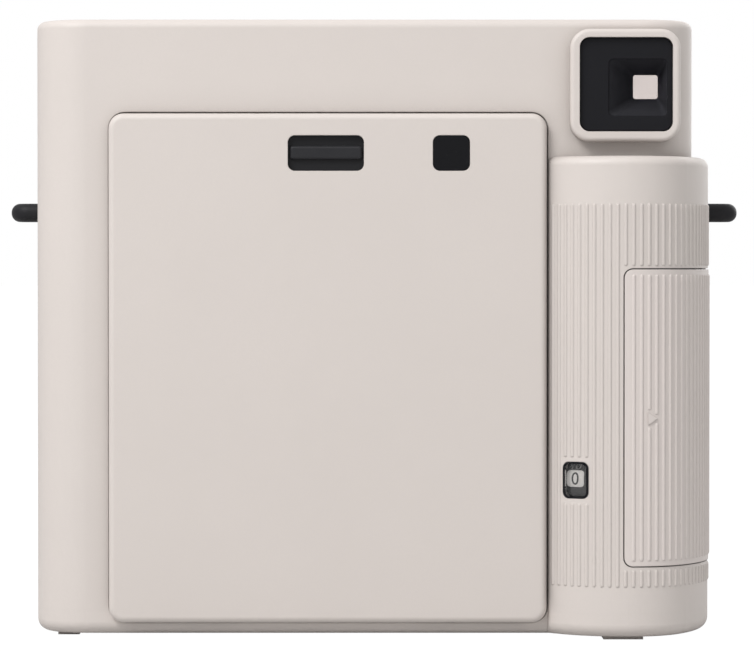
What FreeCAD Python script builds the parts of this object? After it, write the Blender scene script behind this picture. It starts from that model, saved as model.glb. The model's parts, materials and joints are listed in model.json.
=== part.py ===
import FreeCAD, Part
import math
import os
import re
import Sketcher

# Instant camera for square film. Millimetres; X to the photographer's right hand,
# Y the way the lens looks, Z up; zero is the middle of the underside of the feet.

Vector = FreeCAD.Vector
doc = FreeCAD.newDocument("InstantCamera")
sheet = doc.addObject("Spreadsheet::Sheet", "Sizes")

SIZES = [
    # outer shell
    ("body_left", "-65.35"),
    ("body_right", "61.6"),
    ("back_face", "-20.95"),
    ("front_face", "19.75"),
    ("body_bottom", "0.73"),
    ("body_top", "118.6"),
    ("corner_radius", "10"),
    ("edge_radius", "1.6"),
    ("bottom_radius", "2.3"),
    ("wall", "2"),
    ("seam_half", "0.12"),
    ("tongue_inset", "1.1"),
    ("tongue_reach", "1.5"),
    ("fit_gap", "0.1"),
    ("open_gap", "0.2"),
    # grip column
    ("grip_left", "33.4"),
    ("grip_right", "65.2"),
    ("grip_top", "92.3"),
    ("grip_apex", "48.4"),
    ("grip_rear", "-28.45"),
    ("grip_front", "22.75"),
    ("grip_left_radius", "20"),
    ("grip_nose_radius", "14"),
    ("grip_side_start", "-5.85"),
    ("grip_front_radius", "13"),
    ("grip_front_side", "5"),
    ("grip_edge", "1.7"),
    # ribs on the grip
    ("rib_pitch", "1.51"),
    ("rib_radius", "0.42"),
    ("rib_sink", "0.2"),
    ("rib_low", "10.2"),
    ("rib_high", "83.3"),
    # film door
    ("door_left", "-50.8"),
    ("door_right", "33"),
    ("door_low", "3.05"),
    ("door_high", "100.5"),
    ("door_outer", "-23.45"),
    ("door_inner", "-21.05"),
    ("door_corner", "2.9"),
    ("door_edge", "1.2"),
    ("hinge_y", "-21.9"),
    ("hinge_z", "4.6"),
    ("knuckle_radius", "1"),
    ("hinge_pin_radius", "0.5"),
    ("knuckle_a", "-46.6"),
    ("knuckle_b", "8.4"),
    ("knuckle_length", "20.1"),
    ("door_knuckle", "2.8"),
    ("trough_floor", "-19.95"),
    ("moat", "0.33"),
    ("moat_left", "0.16"),
    ("moat_land", "0.9"),
    ("trough_high", "5.95"),
    # film chamber
    ("chamber_left", "-48.9"),
    ("chamber_right", "31.1"),
    ("chamber_low", "6.5"),
    ("chamber_high", "99"),
    ("chamber_wall", "1.5"),
    ("chamber_back", "-18.85"),
    ("chamber_front", "-0.9"),
    ("rim_inset", "0.4"),
    ("rim_depth", "1.5"),
    # lens
    ("lens_x", "-8.9"),
    ("lens_z", "46"),
    ("lens_hole", "27"),
    ("gate_half", "31"),
    # door latch and pack window
    ("latch_left", "-16.5"),
    ("latch_right", "-1.95"),
    ("latch_low", "89.5"),
    ("latch_high", "96.3"),
    ("latch_corner", "1.35"),
    ("latch_travel", "2"),
    ("pane_left", "11.2"),
    ("pane_right", "18.3"),
    # finder
    ("finder_left", "37.4"),
    ("finder_right", "58.5"),
    ("finder_low", "95.1"),
    ("finder_high", "116.6"),
    ("finder_proud", "-23.95"),
    ("finder_corner", "3.8"),
    ("panel_left", "39.2"),
    ("panel_right", "57"),
    ("panel_low", "97"),
    ("panel_high", "115"),
    ("panel_corner", "1.9"),
    ("front_pane_left", "46"),
    ("front_pane_right", "58"),
    ("front_pane_low", "99"),
    ("front_pane_high", "112"),
    # battery door
    ("cover_left", "47.5"),
    ("cover_low", "14.3"),
    ("cover_high", "70.7"),
    ("cover_corner", "1.6"),
    ("cover_proud", "0.15"),
    ("cover_pin_x", "64.3"),
    ("cover_pin_y", "-3.6"),
    ("cover_barrel", "1"),
    ("cover_hinge_gap", "0.15"),
    ("cover_rib_rest", "2.6"),
    ("cover_pin_radius", "0.45"),
    ("arrow_back", "52"),
    ("arrow_tip", "53.9"),
    ("arrow_half", "1.2"),
    ("arrow_z", "42.35"),
    ("arrow_proud", "0.4"),
    # cells
    ("cell_x", "54"),
    ("cell_y", "-12.2"),
    ("cell_radius", "7.75"),
    ("cell_length", "26"),
    ("cell_low", "15.6"),
    # counter
    ("counter_slope", "30.3"),
    ("counter_z", "30.52"),
    ("counter_wide", "5.5"),
    ("counter_tall", "7.05"),
    ("drum_radius", "5"),
    ("drum_width", "5.2"),
    ("drum_shift", "-0.6"),
    ("drum_centre", "13.25"),
    ("drum_room", "0.3"),
    ("ear_half", "0.4"),
    ("ear_offset", "3.1"),
    # strap lugs
    ("lug_tip", "71.5"),
    ("lug_z", "81.8"),
    ("lug_half_height", "1.8"),
    ("lug_half_width", "3.5"),
    # rollers and gears
    ("roller_radius", "3.5"),
    ("roller_left", "-46.9"),
    ("roller_length", "76"),
    ("roller_front_y", "0.3"),
    ("roller_rear_y", "-6.8"),
    ("roller_z", "105.5"),
    ("shaft_radius", "1.4"),
    ("gear_module", "0.5"),
    ("gear_left", "-61"),
    ("gear_width", "3"),
    ("motor_y", "8.5"),
    ("motor_z", "88"),
    ("motor_radius", "7.5"),
    # release button
    ("button_x", "49"),
    ("button_z", "78"),
    ("button_radius", "6"),
    ("button_travel", "1.2"),
]

# values worked out from the sizes above
DERIVED = [
    ("grip_half", "=grip_right - grip_apex"),
    ("grip_nose_y", "=grip_rear + grip_nose_radius"),
    ("grip_nose_drop", "=grip_side_start - grip_nose_y"),
    ("grip_side_radius",
     "=(grip_nose_drop^2 + grip_half^2 - grip_nose_radius^2) / (2 * (grip_half - grip_nose_radius))"),
    ("grip_side_x", "=grip_right - grip_side_radius"),
    ("grip_join", "=grip_side_radius - grip_nose_radius"),
    ("grip_join_x", "=(grip_apex - grip_side_x) / grip_join"),
    ("grip_join_y", "=(grip_nose_y - grip_side_start) / grip_join"),
    ("grip_left_y", "=grip_rear + grip_left_radius"),
    ("bow_front_y", "=grip_front - grip_front_radius"),
    ("bow_front_rise", "=bow_front_y - grip_front_side"),
    ("bow_side_radius",
     "=(bow_front_rise^2 + grip_half^2 - grip_front_radius^2) / (2 * (grip_half - grip_front_radius))"),
    ("bow_side_x", "=grip_right - bow_side_radius"),
    ("bow_join", "=bow_side_radius - grip_front_radius"),
    ("bow_join_x", "=(grip_apex - bow_side_x) / bow_join"),
    ("bow_join_y", "=bow_front_rise / bow_join"),
    ("bow_left_y", "=grip_front - grip_left_radius"),
]


def fill_sheet(rows):
    for row, (name, content) in enumerate(rows, start=1):
        sheet.set(f"A{row}", name)
        sheet.set(f"B{row}", content)
        sheet.setAlias(f"B{row}", name)


fill_sheet(SIZES + DERIVED)
doc.recompute()
NAMES = {name for name, content in SIZES + DERIVED}
WORD = re.compile(r"[A-Za-z_][A-Za-z_0-9]*")


def bound(text):
    """The same formula with every size name pointing at the sheet."""
    return WORD.sub(lambda word: "Sizes." + word[0] if word[0] in NAMES else word[0], str(text))


def size(text):
    return float(sheet.evalExpression(bound(text)))


def tie(thing, prop, text):
    """Set a property from a formula and keep it tied to the sheet."""
    if any(name in NAMES for name in WORD.findall(str(text))):
        thing.setExpression(prop, bound(text))
    else:
        setattr(thing, prop, size(text))


def place(thing, x="0", y="0", z="0", rotation=None):
    """Put a sub-part at a point given by formulas, turned if asked."""
    if rotation is not None:
        thing.Placement = FreeCAD.Placement(Vector(), rotation)
    for axis, text in zip("xyz", (x, y, z)):
        if str(text) != "0":
            thing.setExpression(f"Placement.Base.{axis}", bound(text))
    return thing


# local Y of a turned piece pointed along X, Y or Z
ALONG = {
    "X": FreeCAD.Rotation(Vector(0, 0, 1), -90),
    "Y": None,
    "Z": FreeCAD.Rotation(Vector(1, 0, 0), 90),
}
# local Z of a cylinder or coil pointed along X, Y or Z
UPRIGHT_TO = {
    "X": FreeCAD.Rotation(Vector(0, 1, 0), 90),
    "Y": FreeCAD.Rotation(Vector(1, 0, 0), -90),
    "Z": None,
}


def new_body(label):
    body = doc.addObject("PartDesign::Body", "Body")
    body.Label = label
    return body


def plane_of(body, role):
    return next(item for item in body.Origin.OriginFeatures if item.Role == role)


def new_sketch(body, plane, offset="0"):
    sketch = body.newObject("Sketcher::SketchObject", "Sketch")
    sketch.AttachmentSupport = (plane_of(body, plane), [""])
    sketch.MapMode = "FlatFace"
    if str(offset) != "0":
        sketch.setExpression("AttachmentOffset.Base.z", bound(offset))
    return sketch


def hold(sketch, kind, *items):
    """A driving dimension whose value is a formula (the last item)."""
    text = items[-1]
    index = sketch.addConstraint(Sketcher.Constraint(kind, *items[:-1], size(text)))
    if any(name in NAMES for name in WORD.findall(str(text))):
        sketch.setExpression(f"Constraints[{index}]", bound(text))


def arc_between(start, end, radius, turn):
    """Short arc from start to end; turn is +1 counter-clockwise, -1 clockwise."""
    chord = end - start
    middle = (start + end) * 0.5
    left = Vector(-chord.y, chord.x, 0)
    left.normalize()
    reach = math.sqrt(max(radius**2 - (chord.Length / 2) ** 2, 0))
    centre = middle + left * (turn * reach)
    first, last = (start, end) if turn > 0 else (end, start)
    angles = [math.atan2(point.y - centre.y, point.x - centre.x) for point in (first, last)]
    circle = Part.Circle(centre, Vector(0, 0, 1), radius)
    return Part.ArcOfCircle(circle, angles[0], angles[1])


def outline(sketch, corners):
    """Closed outline; a corner is (u, v), or (u, v, radius, turn) when an arc leaves it."""
    points = [Vector(size(corner[0]), size(corner[1]), 0) for corner in corners]
    ends = []
    for index, corner in enumerate(corners):
        start = points[index]
        end = points[(index + 1) % len(points)]
        if len(corner) == 2:
            edge = sketch.addGeometry(Part.LineSegment(start, end), False)
            ends.append((edge, 1, 2))
        else:
            edge = sketch.addGeometry(arc_between(start, end, size(corner[2]), corner[3]), False)
            ends.append((edge, 1, 2) if corner[3] > 0 else (edge, 2, 1))
    for index, (edge, first, last) in enumerate(ends):
        following = ends[(index + 1) % len(ends)]
        sketch.addConstraint(Sketcher.Constraint("Coincident", edge, last, following[0], following[1]))
    for (edge, first, last), corner in zip(ends, corners):
        hold(sketch, "DistanceX", -1, 1, edge, first, corner[0])
        hold(sketch, "DistanceY", -1, 1, edge, first, corner[1])
        if len(corner) > 2:
            hold(sketch, "Radius", edge, corner[2])


def ring(sketch, u, v, radius):
    edge = sketch.addGeometry(Part.Circle(Vector(size(u), size(v), 0), Vector(0, 0, 1), size(radius)), False)
    hold(sketch, "Radius", edge, radius)
    hold(sketch, "DistanceX", -1, 1, edge, 3, u)
    hold(sketch, "DistanceY", -1, 1, edge, 3, v)


def rectangle(left, right, low, high):
    return [(left, low), (right, low), (right, high), (left, high)]


def soft_rectangle(left, right, low, high, radius):
    return [
        (f"{left} + {radius}", low),
        (f"{right} - {radius}", low, radius, 1),
        (right, f"{low} + {radius}"),
        (right, f"{high} - {radius}", radius, 1),
        (f"{right} - {radius}", high),
        (f"{left} + {radius}", high, radius, 1),
        (left, f"{high} - {radius}"),
        (left, f"{low} + {radius}", radius, 1),
    ]


def span_offset(plane, low, high):
    """Sketch offset and direction so that a pad fills low..high along the plane's axis."""
    return f"-({high})" if plane == "XZ_Plane" else low


def draw(sketch, shapes):
    for shape in shapes:
        if shape[0] == "ring":
            ring(sketch, *shape[1:])
        else:
            outline(sketch, shape)


def pad(body, plane, low, high, *shapes):
    sketch = new_sketch(body, plane, span_offset(plane, low, high))
    draw(sketch, shapes)
    feature = body.newObject("PartDesign::Pad", "Pad")
    feature.Profile = sketch
    tie(feature, "Length", f"({high}) - ({low})")
    body.Tip = feature
    return feature


def pocket(body, plane, low, high, *shapes):
    sketch = new_sketch(body, plane, span_offset(plane, low, high))
    draw(sketch, shapes)
    feature = body.newObject("PartDesign::Pocket", "Pocket")
    feature.Profile = sketch
    feature.Reversed = True
    tie(feature, "Length", f"({high}) - ({low})")
    body.Tip = feature
    return feature


def prism(label, plane, low, high, *shapes):
    body = new_body(label)
    pad(body, plane, low, high, *shapes)
    return body


def turned(label, corners, axis="Y", x="0", y="0", z="0"):
    """A turned piece from an outline of (radius, distance along the axis)."""
    body = new_body(label)
    sketch = new_sketch(body, "XY_Plane")
    outline(sketch, corners)
    feature = body.newObject("PartDesign::Revolution", "Revolution")
    feature.Profile = sketch
    feature.ReferenceAxis = (plane_of(body, "Y_Axis"), [""])
    feature.Angle = 360
    body.Tip = feature
    return place(body, x, y, z, ALONG[axis])


def smooth(body, radius, wanted):
    """Fillet of the edges of the body's last feature that pass the test."""
    doc.recompute()
    tip = body.Tip
    names = [f"Edge{n}" for n, edge in enumerate(tip.Shape.Edges, start=1) if wanted(edge.BoundBox)]
    feature = body.newObject("PartDesign::Fillet", "Fillet")
    feature.Base = (tip, names)
    tie(feature, "Radius", radius)
    body.Tip = feature
    return feature


def box(low_x, high_x, low_y, high_y, low_z, high_z):
    block = doc.addObject("Part::Box", "Box")
    tie(block, "Length", f"({high_x}) - ({low_x})")
    tie(block, "Width", f"({high_y}) - ({low_y})")
    tie(block, "Height", f"({high_z}) - ({low_z})")
    return place(block, low_x, low_y, low_z)


def rod(radius, length, axis, x, y, z):
    """A cylinder that starts at a point and runs along +X, +Y or +Z."""
    cylinder = doc.addObject("Part::Cylinder", "Rod")
    tie(cylinder, "Radius", radius)
    tie(cylinder, "Height", length)
    return place(cylinder, x, y, z, UPRIGHT_TO[axis])


def ball(radius, x, y, z):
    sphere = doc.addObject("Part::Sphere", "Ball")
    tie(sphere, "Radius", radius)
    return place(sphere, x, y, z)


def fuse(label, *items):
    joined = doc.addObject("Part::MultiFuse", "Union")
    joined.Shapes = list(items)
    joined.Label = label
    return joined


def cut(label, base, *tools):
    difference = doc.addObject("Part::Cut", "Cut")
    difference.Base = base
    difference.Tool = tools[0] if len(tools) == 1 else fuse("Tools", *tools)
    difference.Label = label
    return difference


def common(label, base, tool):
    shared = doc.addObject("Part::Common", "Common")
    shared.Base = base
    shared.Tool = tool
    shared.Label = label
    return shared


def group(label, *items):
    together = doc.addObject("Part::Compound", "Group")
    together.Links = list(items)
    together.Label = label
    return together


def spring(label, coil_radius, wire_radius, length, turns, axis, x, y, z):
    """A coil spring that starts at a point and runs along +X, +Y or +Z."""
    helix = doc.addObject("Part::Helix", "Helix")
    tie(helix, "Radius", coil_radius)
    tie(helix, "Pitch", f"(({length}) - 2 * {wire_radius}) / {turns}")
    tie(helix, "Height", f"({length}) - 2 * {wire_radius}")
    wire = doc.addObject("Part::Circle", "WireSection")
    tie(wire, "Radius", wire_radius)
    wire.Placement = FreeCAD.Placement(
        Vector(size(coil_radius), 0, 0), FreeCAD.Rotation(Vector(1, 0, 0), 90)
    )
    coil = doc.addObject("Part::Sweep", "Coil")
    coil.Sections = [wire]
    coil.Spine = (helix, [])
    coil.Solid = True
    coil.Frenet = True
    start = {"X": x, "Y": y, "Z": z}
    start[axis] = f"{start[axis]} + {wire_radius}"
    return place(group(label, coil), start["X"], start["Y"], start["Z"], UPRIGHT_TO[axis])


def gear_outline(teeth, module, backlash):
    """Points of one involute spur gear about zero, worked out tooth by tooth."""
    pressure = math.radians(20)
    pitch = module * teeth / 2
    base = pitch * math.cos(pressure)
    tip = pitch + 0.85 * module
    root = pitch - 1.15 * module
    half_tooth = math.pi / (2 * teeth) - backlash / (2 * pitch)
    half_base = half_tooth + math.tan(pressure) - pressure
    flank_steps = 5
    start = max(base, root)
    points = []
    for tooth in range(teeth):
        middle = 2 * math.pi * tooth / teeth
        flank = []
        for step in range(flank_steps + 1):
            radius = start + (tip - start) * step / flank_steps
            roll = math.sqrt(max((radius / base) ** 2 - 1, 0))
            flank.append((radius, half_base - (roll - math.atan(roll))))
        if root < base:
            flank.insert(0, (root, half_base))
        points += [(radius, middle - angle) for radius, angle in flank]
        points += [(radius, middle + angle) for radius, angle in reversed(flank)]
    return [Vector(radius * math.cos(angle), radius * math.sin(angle), 0) for radius, angle in points]


def gear(teeth, phase, x, y, z):
    """A spur gear whose axle runs along +X, its first tooth turned by a phase in degrees."""
    corners = gear_outline(teeth, size("gear_module"), GEAR_BACKLASH)
    face = Part.Face(Part.makePolygon(corners + corners[:1]))
    wheel = doc.addObject("Part::Feature", "Gear")
    wheel.Shape = face.extrude(Vector(0, 0, size("gear_width")))
    about_x = FreeCAD.Rotation(Vector(1, 0, 0), phase)
    return place(wheel, x, y, z, about_x.multiply(FreeCAD.Rotation(Vector(1, 1, 1), 120)))


GEAR_BACKLASH = 0.12
FINAL = []


def keep(piece, label=None):
    if label:
        piece.Label = label
    FINAL.append(piece)
    return piece


# ---------------------------------------------------------------- shell
def slab(inset):
    """The camera body without the grip, every face moved inward by the inset."""
    body = prism(
        "Slab", "XY_Plane", f"body_bottom + {inset}", f"body_top - {inset}",
        soft_rectangle(f"body_left + {inset}", f"body_right - {inset}", f"back_face + {inset}",
                       f"front_face - {inset}", f"(corner_radius - {inset})"),
    )
    if inset == "0":
        top, foot = size("body_top"), size("body_bottom")
        smooth(body, "edge_radius", lambda bounds: bounds.ZMin > top - 0.01)
        smooth(body, "bottom_radius", lambda bounds: bounds.ZMax < foot + 0.01)
    return body


def grip(inset):
    """The grip column: three tangent arcs behind, three in front."""
    left = f"grip_left + {inset}"
    right = f"grip_right - {inset}"
    left_reach = f"sqrt((grip_left_radius - {inset})^2 - (grip_apex - grip_left - {inset})^2)"
    body = prism(
        "Grip", "XY_Plane", f"body_bottom + {inset}", f"grip_top - {inset}",
        [
            (left, f"grip_left_y - {left_reach}", f"grip_left_radius - {inset}", 1),
            ("grip_apex", f"grip_rear + {inset}", f"grip_nose_radius - {inset}", 1),
            (f"grip_side_x + grip_join_x * (grip_side_radius - {inset})",
             f"grip_side_start + grip_join_y * (grip_side_radius - {inset})",
             f"grip_side_radius - {inset}", 1),
            (right, "grip_side_start"),
            (right, "grip_front_side", f"bow_side_radius - {inset}", 1),
            (f"bow_side_x + bow_join_x * (bow_side_radius - {inset})",
             f"grip_front_side + bow_join_y * (bow_side_radius - {inset})",
             f"grip_front_radius - {inset}", 1),
            ("grip_apex", f"grip_front - {inset}", f"grip_left_radius - {inset}", 1),
            (left, f"bow_left_y + {left_reach}"),
        ],
    )
    if inset == "0":
        top, foot, left = size("grip_top"), size("body_bottom"), size("grip_left") + 1
        smooth(body, "grip_edge", lambda bounds: bounds.ZMin > top - 0.01 and bounds.XMax > left)
        smooth(body, "bottom_radius", lambda bounds: bounds.ZMax < foot + 0.01 and bounds.XMax > left)
    return body


def block(inset):
    return fuse("Block", slab(inset), grip(inset))


def rear_half(limit):
    return box("-80", "80", "-60", limit, "-10", "130")


def front_half(limit):
    return box("-80", "80", limit, "60", "-10", "130")


outer = block("0")
hollow = block("wall")
shell = cut("Shell", outer, hollow)


# ---------------------------------------------------------------- the grip's surface
GRIP_LEFT_ANGLE = math.asin(size("(grip_apex - grip_left) / grip_left_radius"))
APEX_TRAVEL = size("grip_left_radius") * GRIP_LEFT_ANGLE
FIRST_RIB = APEX_TRAVEL + 0.83
RIBS_LEFT = 11
RIBS_RIGHT = 23


def grip_surface(travel):
    """Point and outward normal on the rear of the grip, a distance along it from its left edge."""
    apex = size("grip_apex")
    join = math.atan2(size("grip_join_x"), -size("grip_join_y"))
    pieces = [
        (apex, size("grip_left_y"), size("grip_left_radius"), -GRIP_LEFT_ANGLE, 0.0),
        (apex, size("grip_nose_y"), size("grip_nose_radius"), 0.0, join),
        (size("grip_side_x"), size("grip_side_start"), size("grip_side_radius"), join, math.pi / 2),
    ]
    for centre_x, centre_y, radius, start, stop in pieces:
        length = radius * (stop - start)
        if travel <= length:
            angle = start + travel / radius
            normal = Vector(math.sin(angle), -math.cos(angle), 0)
            return Vector(centre_x, centre_y, 0) + normal * radius, normal
        travel -= length
    return Vector(size("grip_right"), size("grip_side_start") + travel, 0), Vector(1, 0, 0)



def bead(point, low, high):
    """An upright rib with round ends."""
    radius = size("rib_radius")
    middle = Part.makeCylinder(radius, high - low - 2 * radius, Vector(point.x, point.y, low + radius))
    ends = [Part.makeSphere(radius, Vector(point.x, point.y, z)) for z in (low + radius, high - radius)]
    return middle.fuse(ends).removeSplitter()


def rib_positions():
    """Rib stations left and right of the one just past the apex, up to the seam."""
    return [FIRST_RIB + step * size("rib_pitch") for step in range(-RIBS_LEFT, RIBS_RIGHT)]


def bead_set(label, choose):
    """Ribs as one shape: they follow several arcs, which no pattern feature does."""
    beads = []
    for travel in rib_positions():
        point, normal = grip_surface(travel)
        for low, high, lift in choose(point):
            centre = point + normal * (lift - size("rib_sink"))
            beads.append(bead(centre, low, high))
    holder = doc.addObject("Part::Feature", label)
    holder.Shape = Part.makeCompound(beads)
    return holder


COUNTER_RIB_END = 0.8
COUNTER_RIB_SIDE = 0.35


def column_ribs(point):
    low, high = size("rib_low"), size("rib_high")
    half_window = size("counter_tall / 2") + COUNTER_RIB_END
    window_span = size("counter_wide") * math.cos(math.radians(size("counter_slope"))) / 2 + COUNTER_RIB_SIDE
    window_x = size("grip_apex") - size("grip_left_radius") * math.sin(math.radians(size("counter_slope")))
    if abs(point.x - window_x) < window_span:
        return [(low, size("counter_z") - half_window, 0), (size("counter_z") + half_window, high, 0)]
    if point.x > size("cover_left") - 0.3 and point.y < size("cover_pin_y + cover_rib_rest"):
        return [(low, size("cover_low") - 0.6, 0), (size("cover_high") + 0.6, high, 0)]
    return [(low, high, 0)]


def door_ribs(point):
    if point.x < size("cover_left") + 0.9 or point.y > size("cover_pin_y - cover_rib_rest"):
        return []
    low, high, lift = size("cover_low") + 0.9, size("cover_high") - 0.9, size("cover_proud")
    reach = size("arrow_tip - arrow_back")
    along = point.x - size("arrow_back") - 0.1
    if not -0.5 < along < reach:
        return [(low, high, lift)]
    half = size("arrow_half") * (1 - max(along, 0) / reach) + 0.45
    return [(low, size("arrow_z") - half, lift), (size("arrow_z") + half, high, lift)]


# ---------------------------------------------------------------- rear cover
def cover_region(gap):
    """The rounded opening of the battery door, seen from behind, wrapping round the side."""
    return prism(
        "CoverRegion", "XZ_Plane", "-40", "cover_pin_y",
        soft_rectangle(f"cover_left - {gap}", "80", f"cover_low - {gap}", f"cover_high + {gap}",
                       f"(cover_corner + {gap})"),
    )


def slanted(body, depth="0"):
    """Stand a piece on the counter's line of sight: local Y points inward, zero on the grip."""
    slope = size("counter_slope")
    place(
        body,
        f"grip_apex - (grip_left_radius - ({depth})) * sin(counter_slope * 1deg)",
        f"grip_left_y - (grip_left_radius - ({depth})) * cos(counter_slope * 1deg)",
        "counter_z",
        FreeCAD.Rotation(Vector(0, 0, 1), -slope),
    )
    return body


def counter_prism(label, low, high, shrink):
    return slanted(prism(
        label, "XZ_Plane", low, high,
        soft_rectangle(f"-counter_wide / 2 + {shrink}", f"counter_wide / 2 - {shrink}",
                       f"-counter_tall / 2 + {shrink}", f"counter_tall / 2 - {shrink}", "1.3"),
    ))


def finder_ring(low, high):
    return prism(
        "FinderRing", "XZ_Plane", low, high,
        soft_rectangle("finder_left", "finder_right", "finder_low", "finder_high", "finder_corner"),
    )


def lug_slot():
    return fuse(
        "LugSlots",
        box("-67", "-62", "-lug_half_width - fit_gap", "lug_half_width + fit_gap",
            "lug_z - lug_half_height - fit_gap", "lug_z + lug_half_height + fit_gap"),
        box("62", "67", "-lug_half_width - fit_gap", "lug_half_width + fit_gap",
            "lug_z - lug_half_height - fit_gap", "lug_z + lug_half_height + fit_gap"),
    )


tongue = common("Tongue", cut("TongueRing", block("tongue_inset"), block("wall")),
                box("-80", "80", "-seam_half", "tongue_reach", "-10", "130"))
finder_hood = finder_ring("finder_proud", "-16")
smooth(finder_hood, "0.8", lambda bounds: bounds.YMax < size("finder_proud") + 0.01)
rear_shell = common("RearShell", shell, rear_half("-seam_half"))
# two cheeks that carry the ends of the drum's axle
counter_ears = [
    slanted(prism("CounterEar", "XZ_Plane", "1.9", "8.6",
                  rectangle(f"drum_shift {side} ear_offset - ear_half", f"drum_shift {side} ear_offset + ear_half",
                            "-1.5", "1.5")))
    for side in "-+"
]
rear_feet = [
    box("43.8", "51.4", "-24.1", "-15", "0", "body_bottom + 0.4"),
    box("-61.2", "-57.1", "-14.3", "-6", "0", "body_bottom + 0.4"),
]
knuckles = []
for start in ("knuckle_a", "knuckle_b"):
    knuckles.append(rod("knuckle_radius", "knuckle_length", "X", start, "hinge_y", "hinge_z"))
    knuckles.append(box(start, f"{start} + knuckle_length", "hinge_y", "trough_floor + 0.2",
                        "hinge_z - 0.4", "hinge_z + 0.4"))
# the door lies in a shallow recess whose edge shows as a dark line round it
door_moat = prism(
    "DoorMoat", "XZ_Plane", "back_face - 1", "trough_floor",
    soft_rectangle("door_left - moat_left", "door_right + moat", "door_low - moat / 2", "door_high + moat",
                   "(door_corner + moat)"),
)
door_land = prism(
    "DoorLand", "XZ_Plane", "back_face - 2", "trough_floor + 1",
    rectangle("door_left + moat_land", "door_right - moat_land", "trough_high", "door_high - moat_land"),
)
rear_plus = fuse(
    "RearPlus", cut("RearTrough", rear_shell, cut("Moat", door_moat, door_land)),
    tongue, finder_hood, *counter_ears, *rear_feet, *knuckles, bead_set("RearRibs", column_ribs),
)
pin_holes = [
    rod("hinge_pin_radius + 0.02", "knuckle_length + 4", "X", f"{start} - 2", "hinge_y", "hinge_z")
    for start in ("knuckle_a", "knuckle_b")
]
case_screw_spots = [("-50", "-4"), ("26", "-4")]
rear_cover = cut(
    "rear_cover", rear_plus,
    box("chamber_left", "chamber_right", "-30", "-18", "chamber_low", "chamber_high"),
    box("-13", "-5.5", "-30", "-18", "chamber_high - 1", "chamber_high + 0.4"),
    cover_region("open_gap"),
    rod("cover_barrel + open_gap", "cover_high - cover_low + 2 * open_gap", "Z",
        "cover_pin_x", "cover_pin_y", "cover_low - open_gap"),
    box("cover_pin_x", "cover_pin_x + 4", "cover_pin_y - 0.1",
        "cover_pin_y + grip_right + cover_proud - cover_pin_x + cover_hinge_gap",
        "cover_low - open_gap", "cover_high + open_gap"),
    rod("cover_pin_radius + 0.03", "cover_high - cover_low + 5", "Z", "cover_pin_x", "cover_pin_y",
        "cover_low - 2.5"),
    counter_prism("CounterHole", "-3", "5", "0"),
    slanted(prism("DrumRoom", "XZ_Plane", "1.3", "5",
                  rectangle("drum_shift - drum_width / 2 - drum_room", "drum_shift + drum_width / 2 + drum_room",
                            "-2.4", "2.4"))),
    prism("PanelHole", "XZ_Plane", "-30", "-15",
          soft_rectangle("panel_left", "panel_right", "panel_low", "panel_high", "panel_corner")),
    box("-47", "29", "-5.6", "-1.4", "112", "120"),
    lug_slot(),
    slanted(group("AxleHole", turned("Axle", rectangle("0", "0.72", "-5", "5"), "X")),
            "grip_left_radius - drum_centre"),
    *pin_holes,
    *[rod("1.3", "4", "Z", x, y, "0") for x, y in case_screw_spots],
    *[rod("2.3", "2.3", "Z", x, y, "0") for x, y in case_screw_spots],
)
keep(rear_cover)

# ---------------------------------------------------------------- front cover
front_finder = prism(
    "FrontFinder", "XZ_Plane", "13.7", "front_face + 1",
    soft_rectangle("front_pane_left - 1.6", "front_pane_right + 1.6", "front_pane_low - 1.6",
                   "front_pane_high + 1.6", "2.6"),
)
smooth(front_finder, "0.6", lambda bounds: bounds.YMin > 20.7)
chassis_spots = [("-54.5", "10"), ("-54.5", "70"), ("36", "12"), ("36", "50")]
board_spots = [("30", "25"), ("30", "72")]
bosses = [rod("2.8", "18.2 + chamber_front * (-1)", "Y", x, "chamber_front + 0.02", z) for x, z in chassis_spots]
bosses += [rod("2.2", "12.5", "Y", x, "5.65", z) for x, z in board_spots]
screw_blocks = [
    box(f"{x} - 3", f"{x} + 3", f"{y} - 3", "4", "body_bottom + wall + 0.05", "4.8") for x, y in case_screw_spots
]
front_feet = [
    box("40", "52", "8", "16", "0", "body_bottom + 0.4"),
    box("-60", "-50", "8", "16", "0", "body_bottom + 0.4"),
]
screw_webs = [
    box(f"{x} - 3", f"{x} + 3", "1.7", "4", "body_bottom + wall - 0.4", "4.8") for x, y in case_screw_spots
]
front_plus = fuse(
    "FrontPlus", cut("FrontShell", common("FrontHalf", shell, front_half("seam_half")),
                     common("Rebate", block("(tongue_inset - 0.05)"), rear_half("tongue_reach + 0.05"))),
    front_finder, *bosses, *front_feet, *screw_blocks, *screw_webs,
)
front_cover = keep(cut(
    "front_cover", front_plus,
    rod("lens_hole", "10", "Y", "lens_x", "14", "lens_z"),
    prism("FinderHole", "XZ_Plane", "10", "25",
          soft_rectangle("front_pane_left", "front_pane_right", "front_pane_low", "front_pane_high", "1")),
    prism("FlashHole", "XZ_Plane", "14", "25", soft_rectangle("-54", "-32", "96.5", "110.5", "2")),
    rod("3.1", "10", "Y", "30", "14", "105"),
    rod("button_radius + 0.2", "14", "Y", "button_x", "15", "button_z"),
    lug_slot(),
    *[rod("1.02", "8", "Y", x, "chamber_front - 0.5", z) for x, z in chassis_spots],
    *[rod("0.82", "5", "Y", x, "5.5", z) for x, z in board_spots],
    *[rod("0.92", "6", "Z", x, y, "2.5") for x, y in case_screw_spots],
))

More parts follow.
